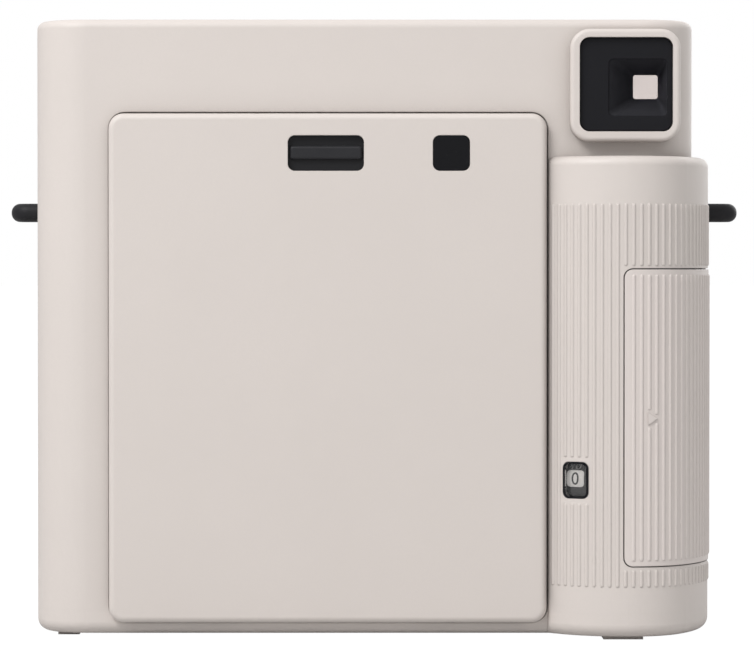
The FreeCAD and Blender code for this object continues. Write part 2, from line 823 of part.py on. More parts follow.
# ---------------------------------------------------------------- film door
door_skin = prism(
    "DoorSkin", "XZ_Plane", "door_outer", "door_inner",
    soft_rectangle("door_left", "door_right", "door_low", "door_high", "door_corner"),
)
smooth(door_skin, "door_edge", lambda bounds: bounds.YMax < size("door_outer") + 0.01)
door_rim = prism(
    "DoorRim", "XZ_Plane", "door_inner - 0.1", "door_inner + rim_depth",
    rectangle("chamber_left + rim_inset", "chamber_right - rim_inset", "chamber_low + rim_inset",
              "chamber_high - 2 * rim_inset"),
    rectangle("chamber_left + rim_inset + 1.2", "chamber_right - rim_inset - 1.2",
              "chamber_low + rim_inset + 1.2", "chamber_high - rim_inset - 3.6"),
)
door_barrels = []
barrel_cuts = []
for start in ("knuckle_a", "knuckle_b"):
    for side in (f"{start} - open_gap - door_knuckle", f"{start} + knuckle_length + open_gap"):
        door_barrels.append(rod("knuckle_radius", "door_knuckle", "X", side, "hinge_y", "hinge_z"))
    barrel_cuts.append(rod("knuckle_radius + open_gap", "knuckle_length + 2 * open_gap", "X",
                           f"{start} - open_gap", "hinge_y", "hinge_z"))
    barrel_cuts.append(box(f"{start} - open_gap", f"{start} + knuckle_length + open_gap", "hinge_y",
                           "door_inner + 1", "door_low - 1", "hinge_z + 1.6"))
    barrel_cuts.append(box(f"{start} - open_gap", f"{start} + knuckle_length + open_gap", "hinge_y - 0.6",
                           "hinge_y + 0.1", "door_low - 1", "hinge_z"))
    barrel_cuts.append(rod("hinge_pin_radius + 0.04", "knuckle_length + 4.2", "X",
                           f"{start} - 2.1", "hinge_y", "hinge_z"))
film_door = keep(cut(
    "film_door", fuse("DoorSolid", door_skin, door_rim, *door_barrels),
    *barrel_cuts,
    prism("LatchHole", "XZ_Plane", "-30", "-10",
          soft_rectangle("latch_left", "latch_right", "latch_low", "latch_high", "latch_corner")),
    box("latch_left - 2", "latch_right + 2", "-22.25", "-21", "82.7", "99.5"),
    box("-12.6", "-5.9", "-21.3", "-19", "92", "chamber_high + 0.2"),
    prism("PaneHole", "XZ_Plane", "-30", "-10",
          soft_rectangle("pane_left", "pane_right", "latch_low", "latch_high", "latch_corner")),
))
doc.recompute()
keep(group("door_hinge_pins", *[
    rod("hinge_pin_radius", "knuckle_length + 3.8", "X", f"{start} - 1.9", "hinge_y", "hinge_z")
    for start in ("knuckle_a", "knuckle_b")
]))
latch_bar = prism(
    "LatchBar", "XZ_Plane", "-23.2", "-21.9",
    soft_rectangle("-16.1", "-2.3", "91.7", "94.3", "0.6"),
)
smooth(latch_bar, "0.5", lambda bounds: bounds.YMax < -23.19)
keep(fuse(
    "door_latch",
    box("latch_left - 1.8", "latch_right + 1.8", "-22.2", "-21.3", "87.2", "99.3"),
    latch_bar,
    box("-12.3", "-6.2", "-21.4", "-19.3", "96.6", "98.4"),
))
keep(group("latch_springs", *[
    spring("LatchSpring", "0.32", "0.1", "4.3", "9", "Z", x, "-21.75", "82.8") for x in ("-15", "-3.5")
]))
pane = prism("door_window", "XZ_Plane", "-23.35", "-21.9",
             soft_rectangle("pane_left + 0.06", "pane_right - 0.06", "latch_low + 0.06", "latch_high - 0.06",
                            "latch_corner"))
keep(pane)
leaf_radius = "160"
leaves = []
for left in ("-30", "2"):
    leaves.append(common(
        "Leaf",
        cut("LeafRing", rod(f"{leaf_radius} + 0.3", "9", "X", left, f"-18.7 - {leaf_radius} - 0.3", "50"),
            rod(leaf_radius, "11", "X", f"{left} - 1", f"-18.7 - {leaf_radius} - 0.3", "50")),
        box("-60", "60", "door_inner + 0.01", "-10", "20", "80"),
    ))
keep(group("pack_springs", *leaves))

# ---------------------------------------------------------------- battery door and cells
cover_shell = cut("CoverShell", block("-cover_proud"), block("(wall - 0.2)"))
arrow = common(
    "Arrow", block("-arrow_proud"),
    prism("ArrowPrism", "XZ_Plane", "-30", "-25.5",
          [("arrow_back", "arrow_z - arrow_half"), ("arrow_tip", "arrow_z"),
           ("arrow_back", "arrow_z + arrow_half")]),
)
cover_edge = rod("cover_barrel", "cover_high - cover_low", "Z", "cover_pin_x", "cover_pin_y", "cover_low")
keep(cut(
    "battery_door",
    fuse("CoverSolid", common("CoverPiece", cover_shell, cover_region("0")), cover_edge, arrow,
         common("CoverRibs", bead_set("DoorRibs", door_ribs), box("40", "80", "-40", "0", "0", "90"))),
    rod("cover_pin_radius + 0.03", "80", "Z", "cover_pin_x", "cover_pin_y", "0"),
))
keep(rod("cover_pin_radius", "cover_high - cover_low + 4.4", "Z", "cover_pin_x", "cover_pin_y",
         "cover_low - 2.2"), "battery_door_pin")
cell_top = "cell_low + 2 * cell_length + 1.8"
keep(cut(
    "battery_box",
    fuse("BoxBlock",
         box("45.6", "62.2", "cell_y", "-2.6", "12.6", f"{cell_top} + 2.8"),
         box("48", "59.4", "-19", "cell_y", "12.6", "cell_low - 0.35"),
         box("48", "59.4", "-19", "cell_y", f"{cell_top} + 0.35", f"{cell_top} + 2.8")),
    rod("cell_radius + 0.2", "2 * cell_length + 2.5", "Z", "cell_x", "cell_y", "cell_low - 0.35"),
    box("60.9", "70", "-30", "-2", "cell_low", cell_top),
))
cells = []
for number in (0, 1):
    foot = f"cell_low + {number} * (cell_length + 0.9)"
    body = rod("cell_radius", "cell_length", "Z", "cell_x", "cell_y", foot)
    cells.append(fuse("Cell", body, rod("3", "cell_length + 0.8", "Z", "cell_x", "cell_y", foot)))
keep(group("battery_cells", *cells))
keep(group("battery_contacts",
           box("cell_x - 5", "cell_x + 5", "cell_y - 5", "cell_y + 5", "cell_low - 0.34", "cell_low - 0.04"),
           box("cell_x - 5", "cell_x + 5", "cell_y - 5", "cell_y + 5", f"{cell_top} + 0.04", f"{cell_top} + 0.34")))


# ---------------------------------------------------------------- strap lugs
def strap_lug(label, side):
    """Rounded eyelet through the side wall with a flange inside; side is +1 or -1."""
    tip = "lug_tip"
    bend = "lug_tip - lug_half_width"
    eyelet = new_body("Eyelet")
    pad(eyelet, "XY_Plane", "lug_z - lug_half_height", "lug_z + lug_half_height", [
        ("62", "-lug_half_width"),
        (bend, "-lug_half_width", "lug_half_width", 1),
        (tip, "0", "lug_half_width", 1),
        (bend, "lug_half_width"),
        ("62", "lug_half_width"),
    ])
    smooth(eyelet, "1.7", lambda bounds: bounds.XMax > 66 and bounds.ZLength < 0.01 and bounds.XMin > 61.9)
    flange = box("60.6", "63.1", "-5", "5", "lug_z - 3.2", "lug_z + 3.2")
    hole = prism("EyeletHole", "XY_Plane", "70", "95", [
        (f"{bend} - 0.8", "-1.6"), (f"{bend} + 0.4", "-1.6", "1.6", 1), (f"{bend} + 2", "0", "1.6", 1),
        (f"{bend} + 0.4", "1.6"), (f"{bend} - 0.8", "1.6")])
    lug = cut(label if side > 0 else "LugSource", fuse("Lug", eyelet, flange), hole)
    return lug if side > 0 else mirrored(label, lug)


def mirrored(label, piece):
    other = doc.addObject("Part::Mirroring", "Mirror")
    other.Source = piece
    other.Normal = Vector(1, 0, 0)
    other.Label = label
    return other


keep(strap_lug("strap_lug_right", 1))
keep(strap_lug("strap_lug_left", -1))

# ---------------------------------------------------------------- finder
funnel = doc.addObject("Part::Loft", "Funnel")
mouth = new_sketch(prism("Mouth", "XZ_Plane", "-24", "-23", rectangle("44.7", "56", "99.9", "110.9")),
                   "XZ_Plane", "22.96")
outline(mouth, soft_rectangle("44.7", "56", "99.9", "110.9", "1"))
throat = new_sketch(mouth.getParentGeoFeatureGroup(), "XZ_Plane", "15.7")
outline(throat, soft_rectangle("50", "54.65", "103.6", "108.1", "0.5"))
funnel.Sections = [mouth, throat]
funnel.Solid = True
funnel.Ruled = True
panel = prism("Panel", "XZ_Plane", "-22.95", "-21.2",
              soft_rectangle("panel_left + 0.12", "panel_right - 0.12", "panel_low + 0.12", "panel_high - 0.12",
                             "panel_corner"))
keep(cut("eyepiece_frame",
         fuse("PanelSolid", panel, box("43.6", "56.8", "-22", "-15.8", "98.2", "112.2")), funnel))
keep(prism("eyepiece_lens", "XZ_Plane", "-15.75", "-14.6", rectangle("49.3", "55.3", "102.9", "108.8")))
keep(cut("finder_tube",
         box("45.4", "58.4", "-14.5", "13.5", "98.7", "112.4"),
         box("46.1", "57.7", "-30", "30", "99.4", "111.7")))
keep(cut("finder_objective",
         box("46.2", "57.6", "8.4", "11", "99.5", "111.6"),
         ball("29", "51.9", "38.7", "105.6")))
keep(prism("finder_window", "XZ_Plane", "front_face - 0.6", "front_face + 0.6",
           soft_rectangle("front_pane_left + 0.1", "front_pane_right - 0.1", "front_pane_low + 0.1",
                          "front_pane_high - 0.1", "1")))

# ---------------------------------------------------------------- frame counter
drum = turned("Drum", [("0", "drum_shift - drum_width / 2"), ("drum_radius", "drum_shift - drum_width / 2"),
                       ("drum_radius", "drum_shift + drum_width / 2"), ("0", "drum_shift + drum_width / 2")], "X")
drum_axle = turned("Axle", rectangle("0", "0.68", "drum_shift - ear_offset - ear_half + 0.05",
                                     "drum_shift + ear_offset + ear_half - 0.05"), "X")
counter_dial = fuse("counter_dial", drum, drum_axle)
slanted(counter_dial, "grip_left_radius - drum_centre")
keep(counter_dial)
keep(counter_prism("counter_window", "0.25", "1.25", "fit_gap"))


# ---------------------------------------------------------------- lens and shutter
def lens_part(label, corners):
    return turned(label, corners, "Y", "lens_x", "0", "lens_z")


def lens_rod(radius, low, high, x="0", z="0"):
    """A cylinder parallel to the lens axis, at an offset from it."""
    return rod(radius, f"({high}) - ({low})", "Y", f"lens_x + ({x})", low, f"lens_z + ({z})")


keep(lens_part("lens_base", [
    ("22.2", "4"), ("24", "4"), ("24", "15.4"), ("30", "15.4"), ("30", "17.4"), ("24", "17.4"),
    ("24", "25.6"), ("22.2", "25.6"),
]))
ring_body = lens_part("RingBody", [
    ("24.1", "18"), ("26.7", "18"), ("26.7", "20.1"), ("30.5", "20.1"), ("30.5", "27.55"), ("29.3", "28.75"),
    ("26.2", "28.75"), ("26.2", "28"), ("21.4", "28"), ("21.4", "26"), ("24.1", "26"),
])
RING_GROOVES = 60
grooves = []
for step in range(RING_GROOVES):
    angle = 2 * math.pi * step / RING_GROOVES
    groove = rod("0.45", "5.6", "Y", f"lens_x + 30.6 * cos({math.degrees(angle)}deg)", "21.4",
                 f"lens_z + 30.6 * sin({math.degrees(angle)}deg)")
    grooves.append(groove)
keep(cut("lens_ring", ring_body, *grooves))
keep(lens_part("dial_face", rectangle("21.45", "26.15", "28.02", "28.6")))
keep(lens_part("lens_barrel", [
    ("19", "6"), ("21", "6"), ("21", "26.5"), ("20.2", "26.5"), ("20.2", "25.4"), ("19", "25.4"),
]))
face_ring = lens_part("FaceRing", [
    ("9.6", "26.45"), ("11.6", "25.42"), ("20.1", "25.42"), ("20.1", "26.6"), ("20.8", "26.6"), ("20.8", "27.4"),
    ("20.3", "27.9"), ("12", "27.9"), ("9.6", "26.9"),
])
keep(cut("barrel_face", face_ring, lens_rod("3.3", "27.1", "29", "11.2", "11.2")))
keep(lens_rod("3.25", "27.12", "27.95", "11.2", "11.2"), "selfie_mirror")
keep(common(
    "front_element",
    common("FrontCurve", lens_rod("10.7", "22", "27"), ball("40", "lens_x", "26.6 - 40", "lens_z")),
    ball("60", "lens_x", "22.6 + 60", "lens_z"),
))
keep(lens_part("element_retainer", [
    ("9.4", "22.1"), ("12.6", "22.1"), ("12.6", "25.36"), ("10.8", "25.36"), ("10.8", "23.3"), ("9.4", "23.1"),
]))
shutter_case = lens_part("ShutterCase", [
    ("4.2", "9"), ("8.1", "9"), ("8.1", "6.6"), ("9.3", "6.6"), ("9.3", "9"), ("18.9", "9"), ("18.9", "15"),
    ("17.5", "15"), ("17.5", "10.2"), ("4.2", "10.2"),
])
blade_pivot = "7.8"
keep(fuse("shutter_housing", shutter_case,
          lens_rod("0.8", "10.1", "11.8", f"-{blade_pivot}", blade_pivot),
          lens_rod("0.8", "10.1", "11.8", blade_pivot, blade_pivot)))
keep(lens_part("rear_element", rectangle("0", "8.05", "6.9", "8.7")))


def shutter_blade(label, side, low, high):
    """A disc that closes the aperture, on an arm from its pivot; side is -1 or +1."""
    disc = lens_rod("4.9", low, high)
    eye = lens_rod("1.9", low, high, f"{side} * {blade_pivot}", blade_pivot)
    arm = new_body("Arm")
    reach = size(blade_pivot) * math.sqrt(2)
    pad(arm, "XZ_Plane", low, high, rectangle("-1.4", "1.4", "0", f"{reach}"))
    turn = FreeCAD.Rotation(Vector(0, 1, 0), 45 * side)
    place(arm, "lens_x", "0", "lens_z", turn)
    return cut(label, fuse("Blade", disc, eye, arm),
               lens_rod("0.9", "9", "14", f"{side} * {blade_pivot}", blade_pivot))


keep(shutter_blade("shutter_blade_left", -1, "10.4", "10.7"))
keep(shutter_blade("shutter_blade_right", 1, "11", "11.3"))
keep(lens_rod("2.5", "10.25", "16", "0", "-14"), "shutter_solenoid")

# ---------------------------------------------------------------- release button
keep(fuse(
    "shutter_button",
    rod("button_radius", "6.2", "Y", "button_x", "17.3", "button_z"),
    rod("button_radius + 0.9", "1", "Y", "button_x", "16.4", "button_z"),
    rod("1.5", "8", "Y", "button_x", "9", "button_z"),
))
keep(spring("button_spring", "2.9", "0.35", "10.6", "7", "Y", "button_x", "5.7", "button_z"))
keep(fuse("release_switch",
          box("button_x - 1.7", "button_x + 1.7", "5.62", "7", "button_z - 1.7", "button_z + 1.7"),
          rod("0.9", "0.7", "Y", "button_x", "6.9", "button_z")))

# ---------------------------------------------------------------- flash and sensor
keep(prism("flash_window", "XZ_Plane", "front_face - 1.9", "front_face - 0.1",
           soft_rectangle("-53.9", "-32.1", "96.6", "110.4", "1.9")))
flash_bowl = doc.addObject("Part::Loft", "FlashBowl")
bowl_body = new_body("BowlSketches")
bowl_mouth = new_sketch(bowl_body, "XZ_Plane", "-17.3")
outline(bowl_mouth, rectangle("-52.3", "-33.7", "97.6", "109.4"))
bowl_back = new_sketch(bowl_body, "XZ_Plane", "-9")
outline(bowl_back, rectangle("-51", "-35", "101.6", "105.4"))
flash_bowl.Sections = [bowl_mouth, bowl_back]
flash_bowl.Solid = True
flash_bowl.Ruled = True
keep(cut("flash_reflector", box("-53", "-33", "8", "17.2", "97", "110"), flash_bowl))
keep(rod("1.1", "15.6", "X", "-50.8", "10.6", "103.5"), "flash_tube")
keep(rod("5.5", "30", "X", "-12", "8", "motor_z"), "flash_capacitor")
keep(fuse("sensor_window", rod("3.04", "2", "Y", "30", "front_face - wall - 0.1", "105"),
          rod("3.8", "0.8", "Y", "30", "front_face - wall - 0.85", "105")))

# ---------------------------------------------------------------- circuit board
keep(cut(
    "main_board",
    fuse("Board", box("23.6", "57", "4", "5.6", "8", "66"), box("28", "57", "4", "5.6", "60", "86")),
    *[rod("3.1", "6", "Y", x, "2", z) for x, z in chassis_spots[2:]],
    *[rod("0.85", "6", "Y", x, "2", z) for x, z in board_spots],
))
keep(group(
    "board_parts",
    box("41", "51", "5.62", "7", "30", "40"),
    box("42", "48", "5.62", "6.8", "46", "54"),
    box("44", "55", "1.6", "3.98", "20", "28"),
    rod("2.6", "6", "Y", "50", "5.62", "61"),
))
keep(group("board_screws", *[
    fuse("BoardScrew", rod("1.6", "1", "Y", x, "2.98", z), rod("0.8", "6", "Y", x, "3.5", z))
    for x, z in board_spots
]))

# ---------------------------------------------------------------- film chamber
chamber_ears = [
    box("-57.5", "chamber_left", "chamber_front - 2.5", "chamber_front", "7", "13"),
    box("-57.5", "chamber_left", "chamber_front - 2.5", "chamber_front", "67", "73"),
    box("chamber_right", "39", "chamber_front - 2.5", "chamber_front", "9", "15"),
    box("chamber_right", "39", "chamber_front - 2.5", "chamber_front", "47", "53"),
]
keep(cut(
    "film_chamber",
    fuse("ChamberBlock",
         box("chamber_left - chamber_wall", "chamber_right + chamber_wall", "chamber_back", "chamber_front",
             "chamber_low - chamber_wall", "chamber_high + chamber_wall"), *chamber_ears),
    box("chamber_left", "chamber_right", "-30", "chamber_front - chamber_wall", "chamber_low", "chamber_high"),
    box("lens_x - gate_half", "lens_x + gate_half", "-10", "10", "lens_z - gate_half", "lens_z + gate_half"),
    box("-47", "29", "-5.2", "-2.6", "chamber_high - 1", "chamber_high + 3"),
    box("chamber_right - 0.2", "chamber_right + 3", "-4.8", "-3", "86.5", "98.4"),
    *[rod("1.15", "6", "Y", x, "-5", z) for x, z in chassis_spots],
))
tunnel_outer = doc.addObject("Part::Loft", "TunnelOuter")
tunnel_inner = doc.addObject("Part::Loft", "TunnelInner")
tunnel_body = new_body("TunnelSketches")
for loft, shrink in ((tunnel_outer, 0), (tunnel_inner, 1)):
    sections = []
    for y, half in (("-0.88", 33), ("3.9", 23.5)):
        section = new_sketch(tunnel_body, "XZ_Plane", f"-({y})")
        reach = half - shrink
        outline(section, rectangle(f"lens_x - {reach}", f"lens_x + {reach}",
                                   f"lens_z - {reach}", f"lens_z + {reach}"))
        sections.append(section)
    loft.Sections = sections
    loft.Solid = True
    loft.Ruled = True
keep(cut("light_tunnel", tunnel_outer, tunnel_inner))
keep(group("chassis_screws", *[
    fuse("ChassisScrew", rod("2.3", "1.4", "Y", x, "chamber_front - 3.92", z),
         rod("1", "8.4", "Y", x, "chamber_front - 3", z))
    for x, z in chassis_spots
]))
keep(group("case_screws", *[
    fuse("CaseScrew", rod("2.1", "0.9", "Z", x, y, "body_bottom + 0.6"), rod("0.9", "2.7", "Z", x, y, "2"))
    for x, y in case_screw_spots
]))

# ---------------------------------------------------------------- rollers and film drive
PINION_TEETH = 12
IDLER_TEETH = 26
ROLLER_TEETH = 14
MESH_SLACK = 0.05


def centre_distance(first, second):
    return size("gear_module") * (first + second) / 2 + MESH_SLACK


def idler_centre():
    """Where the idler touches both the motor pinion and the front roller's gear."""
    start = Vector(size("motor_y"), size("motor_z"), 0)
    end = Vector(size("roller_front_y"), size("roller_z"), 0)
    near = centre_distance(PINION_TEETH, IDLER_TEETH)
    far = centre_distance(ROLLER_TEETH, IDLER_TEETH)
    span = (end - start).Length
    along = (near**2 - far**2 + span**2) / (2 * span)
    aside = math.sqrt(near**2 - along**2)
    direction = (end - start) * (1 / span)
    return start + direction * along + Vector(direction.y, -direction.x, 0) * (aside * IDLER_SIDE)


IDLER_SIDE = 1
idler = idler_centre()


def meshing_phase(own_teeth, own, other_teeth, other, other_phase):
    """Angle that sets a tooth gap of one gear over a tooth of the other, in degrees."""
    toward = math.degrees(math.atan2(other.y - own.y, other.x - own.x))
    other_tooth = (toward + 180 - other_phase) * other_teeth / 360
    lead = other_tooth - math.floor(other_tooth)
    return toward + (lead + 0.5) * 360 / own_teeth


motor = Vector(size("motor_y"), size("motor_z"), 0)
front_axis = Vector(size("roller_front_y"), size("roller_z"), 0)
rear_axis = Vector(size("roller_rear_y"), size("roller_z"), 0)
pinion_phase = 0
idler_phase = meshing_phase(IDLER_TEETH, idler, PINION_TEETH, motor, pinion_phase)
front_phase = meshing_phase(ROLLER_TEETH, front_axis, IDLER_TEETH, idler, idler_phase)
rear_phase = meshing_phase(ROLLER_TEETH, rear_axis, ROLLER_TEETH, front_axis, front_phase)


def roller(label, y, phase):
    return fuse(
        label,
        rod("roller_radius", "roller_length", "X", "roller_left", y, "roller_z"),
        rod("shaft_radius", "roller_length + 20", "X", "gear_left - 0.6", y, "roller_z"),
        gear(ROLLER_TEETH, phase, "gear_left", y, "roller_z"),
    )


keep(roller("front_roller", "roller_front_y", front_phase))
keep(roller("rear_roller", "roller_rear_y", rear_phase))
keep(cut(
    "idler_gear",
    fuse("Idler", gear(IDLER_TEETH, idler_phase, "gear_left", f"{idler.x}", f"{idler.y}"),
         rod("2.4", "gear_width + 0.6", "X", "gear_left - 0.3", f"{idler.x}", f"{idler.y}")),
    rod("1.1", "8", "X", "gear_left - 1", f"{idler.x}", f"{idler.y}"),
))
keep(cut(
    "motor_pinion", gear(PINION_TEETH, pinion_phase, "gear_left", "motor_y", "motor_z"),
    rod("0.8", "8", "X", "gear_left - 1", "motor_y", "motor_z"),
))
keep(fuse(
    "drive_motor",
    rod("motor_radius", "20", "X", "-57", "motor_y", "motor_z"),
    rod("2.2", "0.9", "X", "-57.8", "motor_y", "motor_z"),
    rod("0.75", "4", "X", "gear_left - 0.2", "motor_y", "motor_z"),
))
bearing_plates = fuse(
    "Plates",
    box("-50.3", "-49.1", "-11.5", "4.6", "chamber_high + chamber_wall + 0.05", "111"),
    box("31.3", "32.5", "-11.5", "4.6", "chamber_high + chamber_wall + 0.05", "111"),
    box("-50.3", "32.5", "-11.5", "-10.9", "chamber_high + chamber_wall + 0.05", "111"),
    box("-50.3", "-49.1", "0", "7.4", "95.8", "111"),
    box("-56.4", "-50.2", f"{idler.x} - 1.4", f"{idler.x} + 1.4", f"{idler.y} - 1.4", f"{idler.y} + 1.4"),
    rod("1", "8", "X", "gear_left - 0.2", f"{idler.x}", f"{idler.y}"),
)
keep(cut(
    "roller_bracket", bearing_plates,
    *[rod("shaft_radius + 0.1", "100", "X", "-60", y, "roller_z") for y in ("roller_front_y", "roller_rear_y")],
))
keep(group("roller_springs", *[
    spring("RollerSpring", "0.8", "0.18", "2.2", "4", "Y", x, "-10.7", "roller_z") for x in ("-48", "30.2")
]))
keep(fuse(
    "film_claw",
    box("chamber_right + chamber_wall + 0.1", "34.6", "-8.5", "-3", "62", "91.4"),
    box("chamber_right - 0.5", "34", "-4.6", "-3.2", "87.2", "89.4"),
))
keep(cut(
    "exit_trim",
    fuse("Trim", box("-46.9", "28.9", "-5.5", "-1.5", "115.5", "body_top"),
         box("-48.2", "30.2", "-6.3", "-0.7", "115.3", "body_top - wall - 0.05")),
    box("-46", "28", "-4.6", "-2.4", "110", "130"),
))
keep(group("exit_light_seal",
           box("-46.5", "28.5", "-6", "-3.6", "114.3", "115.28"),
           box("-46.5", "28.5", "-3", "-0.9", "114.3", "115.28")))

# ---------------------------------------------------------------- checks and files
doc.recompute()
for item in doc.Objects:
    if {"Invalid", "Error"} & set(item.State):
        raise SystemExit(f"{item.Name} ({item.Label}) failed: {item.State}")
os.makedirs("parts", exist_ok=True)
for piece in FINAL:
    shape = piece.Shape
    if shape.isNull() or not shape.isValid() or not shape.Solids:
        raise SystemExit(f"{piece.Label} has no valid solid")
    shape.exportStep(f"parts/{piece.Label}.step")
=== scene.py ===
import json
import math

import bpy
import bmesh
from mathutils import Matrix, Vector

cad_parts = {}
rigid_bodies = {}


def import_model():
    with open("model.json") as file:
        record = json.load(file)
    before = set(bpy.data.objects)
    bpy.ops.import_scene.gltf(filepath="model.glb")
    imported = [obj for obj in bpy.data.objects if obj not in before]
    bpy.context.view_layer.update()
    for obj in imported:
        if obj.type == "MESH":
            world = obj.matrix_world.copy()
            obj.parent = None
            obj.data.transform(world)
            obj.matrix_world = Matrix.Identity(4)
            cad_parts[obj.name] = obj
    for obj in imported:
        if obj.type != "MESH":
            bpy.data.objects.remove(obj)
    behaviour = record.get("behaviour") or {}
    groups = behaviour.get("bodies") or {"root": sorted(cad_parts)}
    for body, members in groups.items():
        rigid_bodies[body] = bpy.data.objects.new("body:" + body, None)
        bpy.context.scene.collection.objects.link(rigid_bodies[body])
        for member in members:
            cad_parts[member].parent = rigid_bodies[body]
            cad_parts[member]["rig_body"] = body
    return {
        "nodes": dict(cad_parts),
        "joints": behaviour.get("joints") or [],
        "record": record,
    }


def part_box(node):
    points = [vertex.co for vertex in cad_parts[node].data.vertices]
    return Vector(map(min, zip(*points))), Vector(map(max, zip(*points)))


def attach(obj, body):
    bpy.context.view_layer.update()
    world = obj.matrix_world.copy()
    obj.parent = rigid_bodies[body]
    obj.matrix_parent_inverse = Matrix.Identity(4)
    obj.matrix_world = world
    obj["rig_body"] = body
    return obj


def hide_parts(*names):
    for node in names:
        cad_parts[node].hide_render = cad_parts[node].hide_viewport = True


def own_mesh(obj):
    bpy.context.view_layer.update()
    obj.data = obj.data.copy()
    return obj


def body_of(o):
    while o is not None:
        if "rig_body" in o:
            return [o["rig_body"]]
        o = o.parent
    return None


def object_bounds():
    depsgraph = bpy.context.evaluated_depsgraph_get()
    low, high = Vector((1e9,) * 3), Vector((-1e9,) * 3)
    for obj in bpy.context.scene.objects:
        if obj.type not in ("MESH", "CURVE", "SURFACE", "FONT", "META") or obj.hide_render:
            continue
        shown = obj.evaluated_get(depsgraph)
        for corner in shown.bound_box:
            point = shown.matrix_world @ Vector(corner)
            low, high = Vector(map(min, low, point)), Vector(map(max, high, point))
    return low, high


for leftover in list(bpy.data.objects):
    bpy.data.objects.remove(leftover, do_unlink=True)
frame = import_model()
cad_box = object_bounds()
scene = bpy.context.scene
scene.view_settings.view_transform = "Standard"
scene.view_settings.look = "None"

MM = 0.001
UP = Vector((0, 0, 1))
WHITE = (1, 1, 1)


# ---------------------------------------------------------------- node trees
class Nodes:
    """The node tree of a material or a world, with short calls for the nodes this file uses."""

    def __init__(self, owner, output_kind):
        owner.use_nodes = True
        self.tree = owner.node_tree
        self.tree.nodes.clear()
        self.out = self.tree.nodes.new(output_kind)
        self.coordinates = self.tree.nodes.new("ShaderNodeTexCoord")

    def put(self, socket, value):
        """Link a socket to a socket, or set its plain value."""
        if isinstance(value, bpy.types.NodeSocket):
            self.tree.links.new(value, socket)
        elif isinstance(value, (tuple, list)) and len(value) == 3 and socket.type == "RGBA":
            socket.default_value = (*value, 1)
        else:
            socket.default_value = value

    def node(self, kind, settings=None, **inputs):
        """Add a node; an input's name is written with _ for each space."""
        made = self.tree.nodes.new(kind)
        for name, value in (settings or {}).items():
            setattr(made, name, value)
        for name, value in inputs.items():
            self.put(made.inputs[name.replace("_", " ")], value)
        return made

    def spread(self, source, low, high, start=0.3, stop=0.7):
        """Map the range start to stop of a pattern to the range low to high."""
        made = self.node("ShaderNodeMapRange", Value=source)
        for index, value in enumerate((start, stop, low, high), 1):
            made.inputs[index].default_value = value
        return made.outputs["Result"]

    def maths(self, operation, first, second=0.0):
        made = self.node("ShaderNodeMath", {"operation": operation})
        self.put(made.inputs[0], first)
        self.put(made.inputs[1], second)
        return made.outputs[0]

    def part_of(self, vector, axis):
        """One component, X, Y or Z, of a vector."""
        return self.node("ShaderNodeSeparateXYZ", Vector=vector).outputs[axis]

    def mixed(self, share, first, second):
        """Two shaders, with the second one's share."""
        made = self.node("ShaderNodeMixShader", Fac=share)
        self.put(made.inputs[1], first)
        self.put(made.inputs[2], second)
        return made.outputs["Shader"]

    def done(self, shader):
        self.tree.links.new(shader, self.out.inputs["Surface"])


class Finish(Nodes):
    """A material; its place is the point's position in the row frame, in metres."""

    def __init__(self, name):
        self.material = bpy.data.materials.new(name)
        super().__init__(self.material, "ShaderNodeOutputMaterial")
        self.place = self.coordinates.outputs["Object"]

    def noise(self, grain, detail=2.0, stretch=None, roughness=0.55):
        """Noise with features about grain metres across, stretched along an axis if asked."""
        place = self.place
        if stretch:
            place = self.node("ShaderNodeMapping", Vector=self.place, Scale=stretch).outputs["Vector"]
        return self.node("ShaderNodeTexNoise", Vector=place, Scale=1 / grain, Detail=detail,
                         Roughness=roughness).outputs["Fac"]

    def blend(self, factor, first, second):
        """Two colours, with the second one's share as factor."""
        made = self.node("ShaderNodeMix", {"data_type": "RGBA"})
        for index, value in ((0, factor), (6, first), (7, second)):
            self.put(made.inputs[index], value)
        return made.outputs[2]

    def bump(self, height, relief, below=None):
        """Normals of a height pattern relief metres deep, laid over other normals if given."""
        made = self.node("ShaderNodeBump", Height=height, Distance=relief, Strength=1.0)
        if below is not None:
            self.put(made.inputs["Normal"], below)
        return made.outputs["Normal"]

    def rounded(self, radius):
        """Normals that turn smoothly across sharp edges, as a moulded edge does."""
        return self.node("ShaderNodeBevel", {"samples": 4}, Radius=radius).outputs["Normal"]

    def done(self, shader):
        super().done(shader)
        return self.material

    def surface(self, **inputs):
        """End the material with a principled surface."""
        return self.done(self.node("ShaderNodeBsdfPrincipled", **inputs).outputs["BSDF"])


def shade(colour, factor):
    return tuple(channel * factor for channel in colour)


# ---------------------------------------------------------------- kinds of material
PAINTED_SHADE_REACH = 6 * MM
UNDERSIDE = (4 * MM, 12 * MM)


